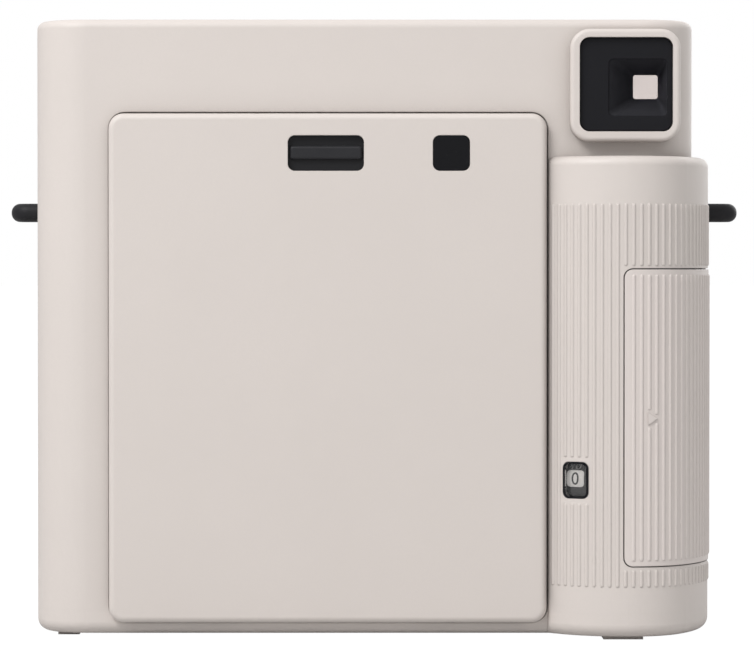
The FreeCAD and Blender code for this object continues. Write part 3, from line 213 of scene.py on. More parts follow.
def moulded(name, colour, roughness, grain, relief, tint=0.03, specular=0.5, wear=0.0, glow=0.0,
            painted_shade=0.0):
    """Moulded plastic: slow colour drift, a fine spark-eroded grain and slightly uneven gloss.

    The last argument is painted shade: how much darker the colour is made in corners and grooves, where
    shade falls; it is left out near the floor, where the floor itself would count as a corner.
    """
    made = Finish(name)
    drift = made.spread(made.noise(30 * MM, 3), 0, 1)
    speck = made.spread(made.noise(grain * 2.2, 2), 0, 1)
    base = made.blend(drift, shade(colour, 1 - tint), shade(colour, 1 + tint))
    base = made.blend(made.maths("MULTIPLY", speck, 0.5), base, shade(colour, 1 - tint))
    if wear:
        paler_share = made.spread(made.noise(6 * MM, 5), 0, wear, 0.45, 0.75)
        base = made.blend(paler_share, base, shade(colour, 1.6))
    # painted shade: darken the colour where the ambient-occlusion node finds surfaces close by
    if painted_shade:
        openness = made.node("ShaderNodeAmbientOcclusion", {"samples": 6},
                             Distance=PAINTED_SHADE_REACH).outputs["AO"]
        near_floor = made.spread(made.part_of(made.place, "Z"), 1, 0, *UNDERSIDE)
        openness = made.maths("MAXIMUM", openness, near_floor)
        base = made.blend(made.spread(openness, 0, 1, 0.35, 0.92), shade(colour, 1 - painted_shade), base)
    gloss = made.spread(made.noise(12 * MM, 4), roughness - 0.05, roughness + 0.05)
    normal = made.bump(made.noise(grain, 3), relief, made.rounded(0.25 * MM))
    # glow makes the colour shine by itself: painted light
    return made.surface(Base_Color=base, Roughness=gloss, Normal=normal, Specular_IOR_Level=specular,
                        Emission_Color=base, Emission_Strength=glow)


def polished(name, colour, roughness, specular=0.5):
    """Glossy moulding or pane: faint waviness and fine dust that breaks up the shine."""
    made = Finish(name)
    dust = made.spread(made.noise(0.9 * MM, 5), 0, 1, 0.62, 0.8)
    base = made.blend(made.maths("MULTIPLY", dust, 0.06), colour, (0.3, 0.29, 0.28))
    gloss = made.spread(made.noise(4 * MM, 4), roughness, roughness + 0.05)
    normal = made.bump(made.noise(9 * MM, 1), 0.03 * MM, made.rounded(0.2 * MM))
    return made.surface(Base_Color=base, Roughness=gloss, Normal=normal, Specular_IOR_Level=specular)


def metal(name, colour, roughness, stretch=(1, 1, 1), relief=0.004 * MM):
    """Metal with fine drawing or grinding lines along the direction the stretch leaves long."""
    made = Finish(name)
    lines = made.noise(0.6 * MM, 4, stretch)
    base = made.blend(made.spread(lines, 0, 1), shade(colour, 0.82), colour)
    stain = made.spread(made.noise(10 * MM, 4), 0, 0.35)
    base = made.blend(stain, base, shade(colour, 0.7))
    gloss = made.spread(lines, roughness - 0.06, roughness + 0.1)
    normal = made.bump(lines, relief, made.rounded(0.1 * MM))
    return made.surface(Base_Color=base, Roughness=gloss, Normal=normal, Metallic=1.0)


def clear(name, tint, gloss_colour, roughness, ridges=0.0):
    """A thin clear moulding or coated glass: straight-through light and a mirror share by angle."""
    made = Finish(name)
    wave = made.noise(7 * MM, 2)
    if ridges:
        ripple = made.node("ShaderNodeTexWave", {"bands_direction": "X", "wave_profile": "SAW"},
                           Vector=made.place, Scale=1 / ridges).outputs["Fac"]
        wave = made.maths("ADD", made.maths("MULTIPLY", wave, 0.1), ripple)
    normal = made.bump(wave, 0.05 * MM)
    through = made.node("ShaderNodeBsdfTransparent", Color=tint).outputs["BSDF"]
    shine = made.node("ShaderNodeBsdfGlossy", Color=gloss_colour, Roughness=roughness,
                      Normal=normal).outputs["BSDF"]
    mirror_share = made.node("ShaderNodeFresnel", IOR=1.5, Normal=normal).outputs["Fac"]
    smear = made.spread(made.noise(5 * MM, 5), 0.85, 1.15)
    return made.done(made.mixed(made.maths("MULTIPLY", mirror_share, smear), through, shine))


def worn_slider(name, colour, proud_colour, level):
    """Black moulding whose outward face, beyond a level along Y, is paler than the recess behind it."""
    made = Finish(name)
    proud = made.spread(made.part_of(made.place, "Y"), 1, 0, level, level + 0.3 * MM)
    paler_share = made.maths("MULTIPLY", proud, made.spread(made.noise(2 * MM, 4), 0.85, 1))
    base = made.blend(paler_share, colour, proud_colour)
    gloss = made.spread(made.noise(10 * MM, 3), 0.4, 0.5)
    normal = made.bump(made.noise(0.3 * MM, 3), 0.01 * MM, made.rounded(0.25 * MM))
    return made.surface(Base_Color=base, Roughness=gloss, Normal=normal, Specular_IOR_Level=0.3)


def funnel_black(name, colour, inner, painted_highlight_colour, level):
    """Black finder panel: walls beyond a level along Y painted paler, and a painted highlight on edges."""
    made = Finish(name)
    inside = made.spread(made.part_of(made.place, "Y"), 0, 1, level, level + 0.4 * MM)
    soft = made.rounded(0.3 * MM)
    flat = made.node("ShaderNodeNewGeometry").outputs["True Normal"]
    lined_up = made.node("ShaderNodeVectorMath", {"operation": "DOT_PRODUCT"})
    made.put(lined_up.inputs[0], soft)
    made.put(lined_up.inputs[1], flat)
    # painted light: the walls are made paler and the edges, where the bevel normal turns away, lighter
    edges = made.spread(lined_up.outputs["Value"], 0.6, 0, 0.94, 0.998)
    base = made.blend(inside, colour, inner)
    base = made.blend(made.maths("MULTIPLY", edges, inside), base, painted_highlight_colour)
    base = made.blend(made.spread(made.noise(2 * MM, 4), 0, 0.15), base, shade(colour, 0.7))
    gloss = made.spread(made.noise(10 * MM, 3), 0.42, 0.52)
    normal = made.bump(made.noise(0.3 * MM, 3), 0.01 * MM, soft)
    return made.surface(Base_Color=base, Roughness=gloss, Normal=normal, Specular_IOR_Level=0.2)


def circuit_board(name):
    """Green solder mask over raised copper tracks, with bare pads."""
    made = Finish(name)
    tracks = made.node("ShaderNodeTexBrick", Vector=made.place, Scale=220.0, Mortar_Size=0.012)
    cells = made.node("ShaderNodeTexVoronoi", {"distance": "MANHATTAN"}, Vector=made.place,
                      Scale=300.0).outputs["Distance"]
    pads = made.spread(cells, 1, 0, 0.08, 0.1)
    raised = made.spread(cells, 0, 1, 0.28, 0.34)
    mask = made.blend(raised, (0.01, 0.09, 0.035), (0.02, 0.16, 0.06))
    mask = made.blend(made.maths("MULTIPLY", tracks.outputs["Fac"], 0.7), mask, (0.03, 0.2, 0.08))
    base = made.blend(pads, mask, (0.62, 0.6, 0.55))
    gloss = made.spread(made.noise(3 * MM, 3), 0.25, 0.4)
    normal = made.bump(made.maths("ADD", raised, pads), 0.03 * MM)
    return made.surface(Base_Color=base, Roughness=gloss, Normal=normal, Metallic=pads)


def felt(name):
    """Short black pile: fine crossed fibres and a soft sheen."""
    made = Finish(name)
    fibres = made.maths("ADD", made.noise(0.2 * MM, 4, (0.3, 1, 1)), made.noise(0.2 * MM, 4, (1, 0.3, 1)))
    base = made.blend(made.spread(fibres, 0, 1, 0.7, 1.3), (0.006, 0.006, 0.007), (0.03, 0.03, 0.032))
    return made.surface(Base_Color=base, Roughness=0.95, Normal=made.bump(fibres, 0.15 * MM),
                        Sheen_Weight=0.3)


def cell_sleeve(name):
    """Printed cell sleeve: a dark body with a pale band that repeats along Z."""
    made = Finish(name)
    bands_per_metre = 29.0
    turns = made.maths("FRACT", made.maths("MULTIPLY", made.part_of(made.place, "Z"), bands_per_metre))
    band = made.spread(turns, 0, 1, 0.66, 0.67)
    base = made.blend(band, (0.02, 0.024, 0.03), (0.45, 0.36, 0.2))
    base = made.blend(made.spread(made.noise(6 * MM, 4), 0, 0.15), base, (0.2, 0.2, 0.2))
    gloss = made.spread(made.noise(4 * MM, 3), 0.22, 0.34)
    normal = made.bump(made.noise(2 * MM, 3), 0.015 * MM)
    return made.surface(Base_Color=base, Roughness=gloss, Normal=normal, Metallic=0.4)


# ---------------------------------------------------------------- finishes and where they go
CHALK = (0.700, 0.640, 0.602)
# the battery door's chalk is a little pinker than the shell, and made brighter as painted light
COVER_TINT_AND_LIGHT = (0.730, 0.663, 0.628)
BLACK = (0.0105, 0.0105, 0.0128)
FINE, COARSE = 0.28 * MM, 0.3 * MM
PRINT_GRAIN, PRINT_RELIEF = 0.25 * MM, 0.004 * MM

FINISHES = {
    # the chalk shell and the battery door get painted shade in corners and grooves
    "chalk_shell": moulded("chalk_moulding", CHALK, 0.5, FINE, 0.01 * MM, 0.015, painted_shade=0.35),
    "black_plastic": moulded("black_moulding", BLACK, 0.42, COARSE, 0.01 * MM, 0.15, 0.3, wear=0.02),
    "black_gloss": polished("black_pane", (0.007, 0.007, 0.009), 0.12, 0.4),
    "inner_plastic": moulded("inner_moulding", (0.018, 0.018, 0.02), 0.55, 0.5 * MM, 0.02 * MM, 0.12, 0.3),
    "ring_plastic": moulded("ring_moulding", (0.62, 0.575, 0.54), 0.4, 0.2 * MM, 0.006 * MM, 0.02),
    "clear_pane": clear("clear_moulding", (0.93, 0.94, 0.93), WHITE, 0.06, 1.6 * MM),
    "optic_glass": clear("coated_glass", (0.962, 0.945, 0.934), (0.8, 0.72, 1.0), 0.02),
    "mirror_face": metal("mirror_coat", (0.85, 0.86, 0.87), 0.08, relief=0.001 * MM),
    "steel": metal("ground_steel", (0.56, 0.56, 0.57), 0.28, (1, 8, 8)),
    "spring_steel": metal("drawn_wire", (0.45, 0.45, 0.47), 0.25, (6, 6, 1)),
    "aluminium": metal("spun_aluminium", (0.72, 0.73, 0.75), 0.3, (1, 8, 8)),
    "bare_aluminium": metal("bright_reflector", (0.86, 0.87, 0.88), 0.14),
    "brass": metal("turned_brass", (0.68, 0.5, 0.2), 0.28, (1, 8, 8)),
    "gear_plastic": moulded("gear_moulding", (0.60, 0.60, 0.56), 0.35, 0.4 * MM, 0.008 * MM, 0.03),
    "board": circuit_board("circuit_board"),
    "board_chip": moulded("chip_moulding", (0.02, 0.02, 0.021), 0.4, COARSE, 0.008 * MM, 0.1),
    "felt": felt("seal_felt"),
    "cell_skin": cell_sleeve("cell_sleeve"),
    "drum_white": moulded("drum_moulding", (0.012, 0.012, 0.014), 0.45, 0.2 * MM, 0.005 * MM, 0.1),
}
# the printed ink glows a little: painted light that brightens the counter tile and dial marks
PRINT = moulded("printed_ink", (0.90, 0.88, 0.86), 0.5, PRINT_GRAIN, PRINT_RELIEF, 0.02, glow=0.2)
FAINT_PRINT = moulded("printed_grey_ink", (0.42, 0.41, 0.41), 0.5, PRINT_GRAIN, PRINT_RELIEF, 0.03)
DARK_PRINT = moulded("printed_dark_ink", (0.012, 0.012, 0.014), 0.45, PRINT_GRAIN, PRINT_RELIEF, 0.1)
DEEP_BLACK = moulded("deep_black_moulding", (0.0085, 0.0085, 0.0112), 0.5, COARSE, 0.01 * MM, 0.12, 0.15)
LUG_BLACK = moulded("lug_moulding", (0.0175, 0.0172, 0.0195), 0.5, COARSE, 0.01 * MM, 0.12, 0.2)
SPECIAL_FINISHES = {
    "counter_window": clear("counter_pane", (0.97, 0.965, 0.96), WHITE, 0.05),
    "battery_door": moulded("chalk_cover_moulding", COVER_TINT_AND_LIGHT, 0.48, FINE, 0.01 * MM, 0.015,
                            painted_shade=0.12),
    # the finder panel's two paler colours are painted light: on the funnel walls and as a highlight on
    # their edges
    "eyepiece_frame": funnel_black("finder_moulding", (0.0085, 0.0085, 0.0112), (0.034, 0.034, 0.039),
                                   (0.12, 0.12, 0.13), -22.9 * MM),
    "door_window": polished("dark_pane", (0.006, 0.006, 0.0075), 0.2, 0.2),
    "door_latch": worn_slider("latch_moulding", (0.0105, 0.0105, 0.0125), (0.021, 0.021, 0.024),
                              -22.6 * MM),
    "strap_lug_left": LUG_BLACK,
    "strap_lug_right": LUG_BLACK,
}

node_slot = {row["node"]: row["material_slot"] for row in frame["record"]["subparts"]}
for node_name, node_object in frame["nodes"].items():
    wanted = SPECIAL_FINISHES.get(node_name, FINISHES[node_slot[node_name]])
    if not node_object.material_slots:
        node_object.data.materials.append(wanted)
    for material_slot in node_object.material_slots:
        material_slot.material = wanted


# ---------------------------------------------------------------- mesh helpers
def add_piece(name, mesh, material, body):
    """Put a finished mesh, already in the row frame, on its body."""
    piece = bpy.data.objects.new(name, mesh)
    scene.collection.objects.link(piece)
    mesh.materials.clear()
    mesh.materials.append(material)
    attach(piece, body)
    return piece


def mesh_from(name, work, smooth_angle=35):
    """Turn a bmesh into a mesh with outward normals, smooth but for its sharp edges."""
    bmesh.ops.recalc_face_normals(work, faces=work.faces)
    for face in work.faces:
        face.smooth = True
    for edge in work.edges:
        if len(edge.link_faces) == 2:
            edge.smooth = edge.calc_face_angle(0) < math.radians(smooth_angle)
    mesh = bpy.data.meshes.new(name)
    work.to_mesh(mesh)
    work.free()
    return mesh


def bridge(work, loops, closed=False):
    """Join each closed loop of points to the next, and the last one to the first if closed."""
    following = loops[1:] + loops[:1] if closed else loops[1:]
    for first, second in zip(loops, following):
        for k in range(len(first)):
            n = (k + 1) % len(first)
            work.faces.new((first[k], first[n], second[n], second[k]))


def islands(mesh):
    """The boxes of a mesh's separate solids, as pairs of corners, in order of their low corners."""
    work = bmesh.new()
    work.from_mesh(mesh)
    bmesh.ops.remove_doubles(work, verts=work.verts, dist=0.001 * MM)
    left = set(work.verts)
    boxes = []
    while left:
        front = [left.pop()]
        found = list(front)
        while front:
            for edge in front.pop().link_edges:
                for other in edge.verts:
                    if other in left:
                        left.remove(other)
                        front.append(other)
                        found.append(other)
        low = Vector(min(v.co[i] for v in found) for i in range(3))
        high = Vector(max(v.co[i] for v in found) for i in range(3))
        boxes.append((low, high))
    work.free()
    return sorted(boxes, key=lambda box: [round(value / MM, 1) for value in box[0]])


def numeral_mesh(name, words, height, thickness):
    """A thin solid numeral, fine enough to wrap, centred on its own origin."""
    curve = bpy.data.curves.new(name, "FONT")
    curve.body = words
    curve.align_x = "CENTER"
    curve.align_y = "CENTER"
    curve.size = height
    curve.extrude = thickness / 2
    curve.resolution_u = 4
    holder = bpy.data.objects.new(name, curve)
    scene.collection.objects.link(holder)
    bpy.context.view_layer.update()
    mesh = bpy.data.meshes.new_from_object(holder)
    bpy.data.objects.remove(holder, do_unlink=True)
    bpy.data.curves.remove(curve)
    low_x = min(v.co.x for v in mesh.vertices)
    high_x = max(v.co.x for v in mesh.vertices)
    low_y = min(v.co.y for v in mesh.vertices)
    high_y = max(v.co.y for v in mesh.vertices)
    mesh.transform(Matrix.Translation((-(low_x + high_x) / 2, -(low_y + high_y) / 2, 0)))
    return mesh


def soft_plate(name, width, height, thickness, corner, steps=24):
    """A thin plate with round corners, cut into rows fine enough to wrap."""
    work = bmesh.new()
    layers = []
    for level in (-thickness / 2, thickness / 2):
        rows = []
        for step in range(steps + 1):
            y = -height / 2 + height * step / steps
            depth = max(0, abs(y) - (height / 2 - corner))
            pull = corner - math.sqrt(max(corner * corner - depth * depth, 0))
            half = width / 2 - pull
            rows.append([work.verts.new((x * half, y, level)) for x in (-1, -0.33, 0.33, 1)])
        layers.append(rows)
    for rows in layers:
        for first, second in zip(rows, rows[1:]):
            for k in range(3):
                work.faces.new((first[k], first[k + 1], second[k + 1], second[k]))
    lower, upper = layers
    for k in range(steps):
        for side in (0, 3):
            work.faces.new((lower[k][side], lower[k + 1][side], upper[k + 1][side], upper[k][side]))
    for end in (0, steps):
        for k in range(3):
            work.faces.new((lower[end][k], lower[end][k + 1], upper[end][k + 1], upper[end][k]))
    return mesh_from(name, work)


def soft_outline(width, height, corner, steps=8):
    """The points of a rectangle with round corners, counter-clockwise."""
    points = []
    for quarter, (side_x, side_y) in enumerate(((1, 1), (-1, 1), (-1, -1), (1, -1))):
        centre = Vector((side_x * (width / 2 - corner), side_y * (height / 2 - corner)))
        for step in range(steps + 1):
            angle = math.pi / 2 * (quarter + step / steps)
            points.append(centre + Vector((math.cos(angle), math.sin(angle))) * corner)
    return points


# ---------------------------------------------------------------- frame counter
COUNTER_SLOPE = math.radians(30.3)
DRUM_AXIS = Vector((math.cos(COUNTER_SLOPE), -math.sin(COUNTER_SLOPE), 0))
DRUM_FACE = Vector((-math.sin(COUNTER_SLOPE), -math.cos(COUNTER_SLOPE), 0))
DRUM_CENTRE = Vector(next(j["pos_m"] for j in frame["joints"] if j["name"] == "counter_dial_turn"))
DRUM_RADIUS = 5 * MM
STATIONS = 12
LAST_NUMBER = 10
PRINT_SHIFT = -0.9 * MM
PRINT_RISE = 0.23 * MM
INK_THICK = 0.05 * MM
TILE_WIDE, TILE_TALL, TILE_CORNER, TILE_LIFT = 3.7 * MM, 3.25 * MM, 0.75 * MM, 0.035 * MM
ZERO_TALL, ZERO_LIFT = 3.4 * MM, 0.1 * MM
NUMBER_TALL, NUMBER_LIFT = 2.6 * MM, 0.04 * MM
RIM_BACK, RIM_CREST, RIM_LIP = 0.56 * MM, 0.72 * MM, 0.68 * MM
MASK_WIDE, MASK_THICK, MASK_TALL = 0.5 * MM, 0.08 * MM, 4.2 * MM
MASK_SHIFT, MASK_DEPTH, MASK_EDGE = -3.2 * MM, 0.6 * MM, 0.02 * MM


def wrap_on_drum(mesh, station, lift):
    """Bend a flat piece round the drum at one of its stations."""
    base = station * 2 * math.pi / STATIONS
    for vertex in mesh.vertices:
        across, along, out = vertex.co
        angle = base + (along + PRINT_RISE) / DRUM_RADIUS
        radial = DRUM_FACE * math.cos(angle) + UP * math.sin(angle)
        vertex.co = DRUM_CENTRE + DRUM_AXIS * (across + PRINT_SHIFT) + radial * (DRUM_RADIUS + lift + out)
    mesh.update()


def print_on_drum(name, mesh, station, lift, ink):
    wrap_on_drum(mesh, station, lift)
    add_piece(name, mesh, ink, "counter_dial")


def window_middle():
    low, high = (Vector(corner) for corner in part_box("counter_window"))
    return (low + high) / 2


def counter_rim():
    """The black rim moulded just in front of the counter pane, standing in its opening."""
    outer = soft_outline(5.4 * MM, 6.95 * MM, 1.25 * MM)
    inner = soft_outline(4.6 * MM, 6.2 * MM, 0.9 * MM)
    middle = window_middle()
    work = bmesh.new()
    loops = []
    for outline, level in ((outer, RIM_BACK), (outer, RIM_CREST), (inner, RIM_LIP), (inner, RIM_BACK)):
        loops.append([work.verts.new(middle + DRUM_AXIS * p.x + UP * p.y + DRUM_FACE * level)
                      for p in outline])
    bridge(work, loops, closed=True)
    return mesh_from("counter_rim", work)


def counter_mask():
    """A narrow black strip behind the pane, painted shade that hides the cheek at the end of the drum."""
    front = window_middle() - DRUM_FACE * MASK_DEPTH
    work = bmesh.new()
    bmesh.ops.create_cube(work, size=1)
    for vertex in work.verts:
        across, depth, along = vertex.co
        vertex.co = (front + DRUM_AXIS * (across * MASK_WIDE + MASK_SHIFT)
                     - DRUM_FACE * depth * MASK_THICK + UP * along * MASK_TALL)
    bmesh.ops.bevel(work, geom=list(work.edges), offset=MASK_EDGE, segments=1, affect="EDGES")
    return mesh_from("counter_mask", work)


print_on_drum("counter_tile", soft_plate("counter_tile", TILE_WIDE, TILE_TALL, INK_THICK, TILE_CORNER),
              0, TILE_LIFT, PRINT)
print_on_drum("numeral_0", numeral_mesh("numeral_0", "0", ZERO_TALL, INK_THICK), 0, ZERO_LIFT, DARK_PRINT)
for station in range(1, LAST_NUMBER + 1):
    number = LAST_NUMBER + 1 - station
    label = f"numeral_{number}"
    print_on_drum(label, numeral_mesh(label, str(number), NUMBER_TALL, INK_THICK), station, NUMBER_LIFT,
                  FAINT_PRINT)
add_piece("counter_rim", counter_rim(), DEEP_BLACK, "camera_body")
add_piece("counter_mask", counter_mask(), DEEP_BLACK, "camera_body")


# ---------------------------------------------------------------- screws
SCREW_SEGMENTS = 32
# radius and depth of the head, as shares of its full radius and height
HEAD_PROFILE = ((0.62, 0.0), (0.78, 0.1), (0.93, 0.32), (1.0, 0.65), (1.0, 1.0))
# the cross recess, as shares of the head's radius and height
ARM_HALF, ARM_REACH, RECESS_DEEP, RECESS_TAPER = 0.14, 0.5, 0.55, 0.6
# thread root, pitch and point, as shares of the shank's radius
THREAD_ROOT, THREAD_PITCH, POINT = 0.8, 0.55, 0.3
ONTO_Y = Matrix(((1, 0, 0), (0, 0, 1), (0, -1, 0)))


def lathe(work, profile, cap_first=False):
    """Turn a profile of radius and level about Z, closed at its last end and at its first if asked."""
    rings = []
    for radius, level in profile:
        rings.append([work.verts.new((radius * math.cos(2 * math.pi * k / SCREW_SEGMENTS),
                                      radius * math.sin(2 * math.pi * k / SCREW_SEGMENTS), level))
                      for k in range(SCREW_SEGMENTS)])
    bridge(work, rings)
    if cap_first:
        work.faces.new(rings[0])
    work.faces.new(rings[-1])
    return rings


def edges_round(work, loop):
    return [work.edges.get((loop[k], loop[(k + 1) % len(loop)])) for k in range(len(loop))]


def screw(name, low, along, head_radius, head_height, shank_radius, length):
    """A pan-head screw with a cross recess and a threaded shank; its head faces back along its axis."""
    work = bmesh.new()
    rings = lathe(work, [(share * head_radius, level * head_height) for share, level in HEAD_PROFILE])
    arm, reach = head_radius * ARM_HALF, head_radius * ARM_REACH
    cross = []
    for k in range(4):
        ahead = Vector((math.cos(math.pi / 2 * k), math.sin(math.pi / 2 * k), 0))
        side = Vector((-ahead.y, ahead.x, 0))
        cross += [ahead * reach - side * arm, ahead * reach + side * arm, ahead * arm + side * arm]
    mouth = [work.verts.new((p.x, p.y, 0)) for p in cross]
    bottom = [work.verts.new((p.x * RECESS_TAPER, p.y * RECESS_TAPER, head_height * RECESS_DEEP))
              for p in cross]
    bridge(work, [mouth, bottom])
    work.faces.new(bottom)
    bmesh.ops.triangle_fill(work, edges=edges_round(work, rings[0]) + edges_round(work, mouth),
                            use_beauty=True)
    root, pitch = shank_radius * THREAD_ROOT, shank_radius * THREAD_PITCH
    thread = [(root, head_height * 0.98)]
    for turn in range(int((length - head_height - shank_radius) / pitch)):
        level = head_height + pitch * turn
        thread += [(root, level + pitch * 0.2), (shank_radius, level + pitch * 0.5),
                   (root, level + pitch * 0.8)]
    thread.append((shank_radius * POINT, length))
    lathe(work, thread, cap_first=True)
    turned_to = Matrix.Identity(3) if along == 2 else ONTO_Y
    for vertex in work.verts:
        vertex.co = turned_to @ vertex.co + low
    return mesh_from(name, work)


def screws_for(node, along, head_height, shank_radius):
    """Replace a node of plain screws by threaded ones in the same places."""
    for index, (low, high) in enumerate(islands(frame["nodes"][node].data)):
        start = (low + high) / 2
        start[along] = low[along]
        radius = (high[0] - low[0]) / 2
        mesh = screw(f"{node}_{index}", start, along, radius, head_height, shank_radius,
                     high[along] - low[along])
        piece = add_piece(f"{node}_{index}", mesh, FINISHES["steel"], "camera_body")
        if index == 0:
            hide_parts(node)


screws_for("chassis_screws", 1, 1.4 * MM, 1.0 * MM)
screws_for("board_screws", 1, 1.0 * MM, 0.8 * MM)
screws_for("case_screws", 2, 0.9 * MM, 0.9 * MM)


# ---------------------------------------------------------------- coil springs
STEPS_PER_TURN = 28
WIRE_SIDES = 8
SPRING_WIRE = 0.2 * MM


def wire_coil(name, low, high, along, turns):
    """A coil spring that fills a box from end to end."""
    work = bmesh.new()
    centre = (low + high) / 2
    length = high[along] - low[along]
    first_side, second_side = [i for i in range(3) if i != along]
    width = min(high[first_side] - low[first_side], high[second_side] - low[second_side])
    radius = width / 2 - SPRING_WIRE
    axis = Vector((0, 0, 0))
    axis[along] = 1
    steps = turns * STEPS_PER_TURN
    rings = []
    for step in range(steps + 1):
        share = step / steps
        angle = 2 * math.pi * turns * share
        outward = Vector((0, 0, 0))
        outward[first_side] = math.cos(angle)
        outward[second_side] = math.sin(angle)
        path = centre + outward * radius
        path[along] = low[along] + SPRING_WIRE + (length - 2 * SPRING_WIRE) * share
        ring = []
        for k in range(WIRE_SIDES):
            bend = 2 * math.pi * k / WIRE_SIDES
            spoke = outward * math.cos(bend) + axis * math.sin(bend)
            ring.append(work.verts.new(path + spoke * SPRING_WIRE))
        rings.append(ring)
    bridge(work, rings)
    work.faces.new(rings[0])
    work.faces.new(rings[-1])
    return mesh_from(name, work, 60)


def springs_for(node, along, turns):
    """Replace a node of coil springs by coils that fill the same boxes, each with a mesh of its own."""
    body = body_of(frame["nodes"][node])[0]
    for index, (low, high) in enumerate(islands(frame["nodes"][node].data)):
        coil = wire_coil(f"{node}_{index}", low, high, along, turns)
        piece = add_piece(f"{node}_coil_{index}", coil, FINISHES["spring_steel"], body)
        anchor = [(low[i] + high[i]) / 2 for i in range(3)]
        anchor[along] = low[along]
        if index == 0:
            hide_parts(node)
        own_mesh(piece)


springs_for("latch_springs", 2, 6)
springs_for("button_spring", 1, 5)


# ---------------------------------------------------------------- marks on the lens front
LENS_CENTRE = Vector((-8.9 * MM, 0, 46 * MM))
DIAL_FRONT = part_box("dial_face")[1][1]
FACE_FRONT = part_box("barrel_face")[1][1]
SUNK = 0.01 * MM
MARK_COUNT = 5
MARK_START, MARK_STEP = -60, 25
MARK_INNER, LONG_MARK_OUTER, SHORT_MARK_OUTER = 22.6 * MM, 25.2 * MM, 24.2 * MM
MARK_WIDE, MARK_RISE = 0.35 * MM, 0.05 * MM
FACE_RINGS = (12.35 * MM, 19.85 * MM)
RING_WIDE, RING_RISE, RING_SEGMENTS = 0.35 * MM, 0.12 * MM, 96
# place across the ring's width, and share of its rise
RING_SECTION = ((-0.36, 0.8), (0.0, 1.0), (0.36, 0.8))
BLOCK_FACES = ((0, 1, 2, 3), (4, 5, 6, 7), (0, 1, 5, 4), (1, 2, 6, 5), (2, 3, 7, 6), (3, 0, 4, 7))


def clock_hand(angle):
    """The direction in the lens face that a clock hand at this angle points to."""
    return Vector((math.sin(angle), 0, math.cos(angle)))


def dial_mark(name, angle, outer):
    """A printed bar that lies on the dial, pointing at the lens axis."""
    work = bmesh.new()
    ahead = clock_hand(angle)
    side = clock_hand(angle + math.pi / 2)
    corners = []
    for depth in (DIAL_FRONT - SUNK, DIAL_FRONT + MARK_RISE):
        for along, across in ((MARK_INNER, -1), (outer, -1), (outer, 1), (MARK_INNER, 1)):
            corners.append(work.verts.new(LENS_CENTRE + ahead * along + side * across * MARK_WIDE / 2
                                          + Vector((0, depth, 0))))
    for face in BLOCK_FACES:
        work.faces.new([corners[k] for k in face])
    return mesh_from(name, work)


def raised_ring(name, radius):
    """A fine raised ring round the lens axis with a rounded crest."""
    work = bmesh.new()
    section = [(-0.5, -SUNK), *((share, rise * RING_RISE) for share, rise in RING_SECTION), (0.5, -SUNK)]
    loops = []
    for k in range(RING_SEGMENTS):
        ahead = clock_hand(2 * math.pi * k / RING_SEGMENTS)
        loops.append([work.verts.new(LENS_CENTRE + ahead * (radius + RING_WIDE * share)
                                     + Vector((0, FACE_FRONT + level, 0))) for share, level in section])
    bridge(work, loops, closed=True)
    return mesh_from(name, work)


for step in range(MARK_COUNT):
    outer = LONG_MARK_OUTER if step % 2 == 0 else SHORT_MARK_OUTER
    mark = dial_mark(f"dial_mark_{step}", math.radians(MARK_START + MARK_STEP * step), outer)
    add_piece(f"dial_mark_{step}", mark, PRINT, "lens_ring")
for number, radius in enumerate(FACE_RINGS):
    ring = raised_ring(f"face_ring_{number}", radius)
    add_piece(f"face_ring_{number}", ring, FINISHES["black_plastic"], "lens_barrel")


# ---------------------------------------------------------------- camera
EYE = Vector((0, -0.72095, 0.0714))
AIM = Vector((0.00054, -0.02095, 0.059844))
LENS_LENGTH, SENSOR_WIDTH = 174.4, 36
CLIP_NEAR, CLIP_FAR = 0.01, 50

camera_data = bpy.data.cameras.new("photo_camera")
camera_data.lens = LENS_LENGTH
camera_data.sensor_width = SENSOR_WIDTH
camera_data.clip_start = CLIP_NEAR
camera_data.clip_end = CLIP_FAR
camera = bpy.data.objects.new("photo_camera", camera_data)
camera.location = EYE
camera.rotation_mode = "QUATERNION"
camera.rotation_quaternion = (AIM - EYE).to_track_quat("-Z", "Y")
scene.collection.objects.link(camera)
scene.camera = camera


# ---------------------------------------------------------------- studio
ROOM_LOW, ROOM_HIGH = 0.35, 0.80
FLOOR_GLOW, FLOOR_GLOW_SHARE = 1.06, 0.95
FLOOR_HALF = 12
FLOOR_DROP = 0.1 * MM
MIDDLE = Vector((0, 0, 0.06))


def light_room():
    """A room that is brighter above than below; the camera itself sees plain white."""
    world = bpy.data.worlds.new("studio")
    scene.world = world
    sky = Nodes(world, "ShaderNodeOutputWorld")
    height = sky.part_of(sky.coordinates.outputs["Generated"], "Z")
    strength = sky.spread(height, ROOM_LOW, ROOM_HIGH, -1, 1)
    room = sky.node("ShaderNodeBackground", Color=WHITE, Strength=strength).outputs[0]
    backdrop = sky.node("ShaderNodeBackground", Color=WHITE, Strength=1.0).outputs[0]
    seen = sky.node("ShaderNodeLightPath").outputs["Is Camera Ray"]
    sky.done(sky.mixed(seen, room, backdrop))


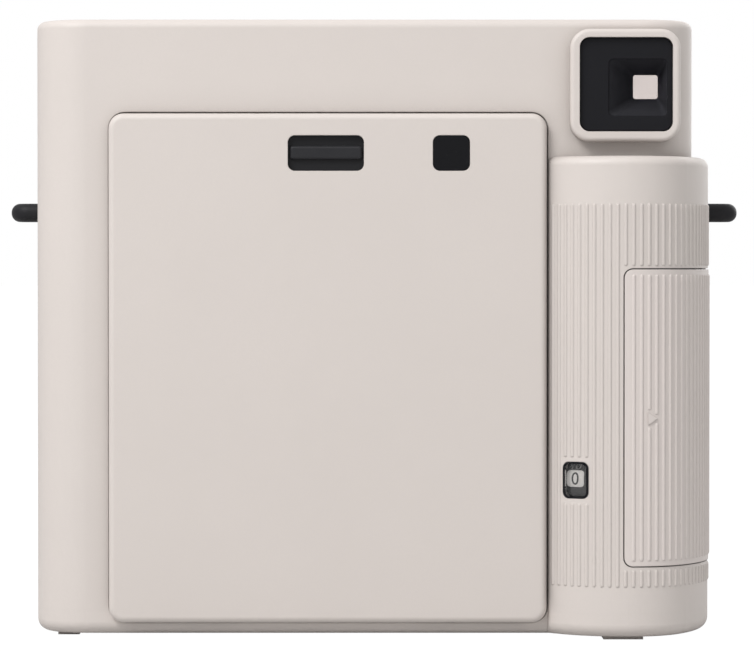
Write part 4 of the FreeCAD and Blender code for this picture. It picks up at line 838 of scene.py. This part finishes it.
def floor_paper():
    """Pale paper that looks evenly lit but throws back less light than it shows.

    To a camera below it the paper is clear, so that the underside can be looked at.
    """
    made = Finish("studio_floor")
    tone = made.spread(made.noise(50 * MM, 4), 0.93, 0.96)
    colour = made.node("ShaderNodeCombineColor", Red=tone, Green=tone, Blue=tone).outputs[0]
    grain = made.bump(made.noise(0.8 * MM, 3), 0.02 * MM)
    paper = made.node("ShaderNodeBsdfDiffuse", Color=colour, Normal=grain).outputs[0]
    glow = made.node("ShaderNodeEmission", Strength=FLOOR_GLOW).outputs[0]
    dim = made.node("ShaderNodeBsdfDiffuse", Color=(0.55, 0.55, 0.55)).outputs[0]
    seen = made.node("ShaderNodeLightPath").outputs["Is Camera Ray"]
    shown = made.mixed(seen, dim, made.mixed(FLOOR_GLOW_SHARE, paper, glow))
    below = made.node("ShaderNodeNewGeometry").outputs["Backfacing"]
    gone = made.node("ShaderNodeBsdfTransparent").outputs[0]
    return made.done(made.mixed(made.maths("MULTIPLY", below, seen), shown, gone))


def add_floor():
    work = bmesh.new()
    bmesh.ops.create_grid(work, x_segments=2, y_segments=2, size=FLOOR_HALF)
    mesh = bpy.data.meshes.new("floor")
    work.to_mesh(mesh)
    work.free()
    mesh.materials.append(floor_paper())
    floor = bpy.data.objects.new("floor", mesh)
    floor.location.z = cad_box[0].z - FLOOR_DROP
    scene.collection.objects.link(floor)


def softbox(name, place, width, height, power):
    """A rectangular lamp that faces the middle of the object."""
    lamp_data = bpy.data.lights.new(name, "AREA")
    lamp_data.shape = "RECTANGLE"
    lamp_data.size = width
    lamp_data.size_y = height
    lamp_data.energy = power
    lamp = bpy.data.objects.new(name, lamp_data)
    lamp.location = place
    lamp.rotation_mode = "QUATERNION"
    lamp.rotation_quaternion = (MIDDLE - Vector(place)).to_track_quat("-Z", "Y")
    scene.collection.objects.link(lamp)


light_room()
add_floor()
softbox("key", (-0.45, -0.6, 0.76), width=0.4, height=0.4, power=6.1)
softbox("back_fill", (0.6, 0.9, 0.4), width=0.8, height=0.6, power=3.2)
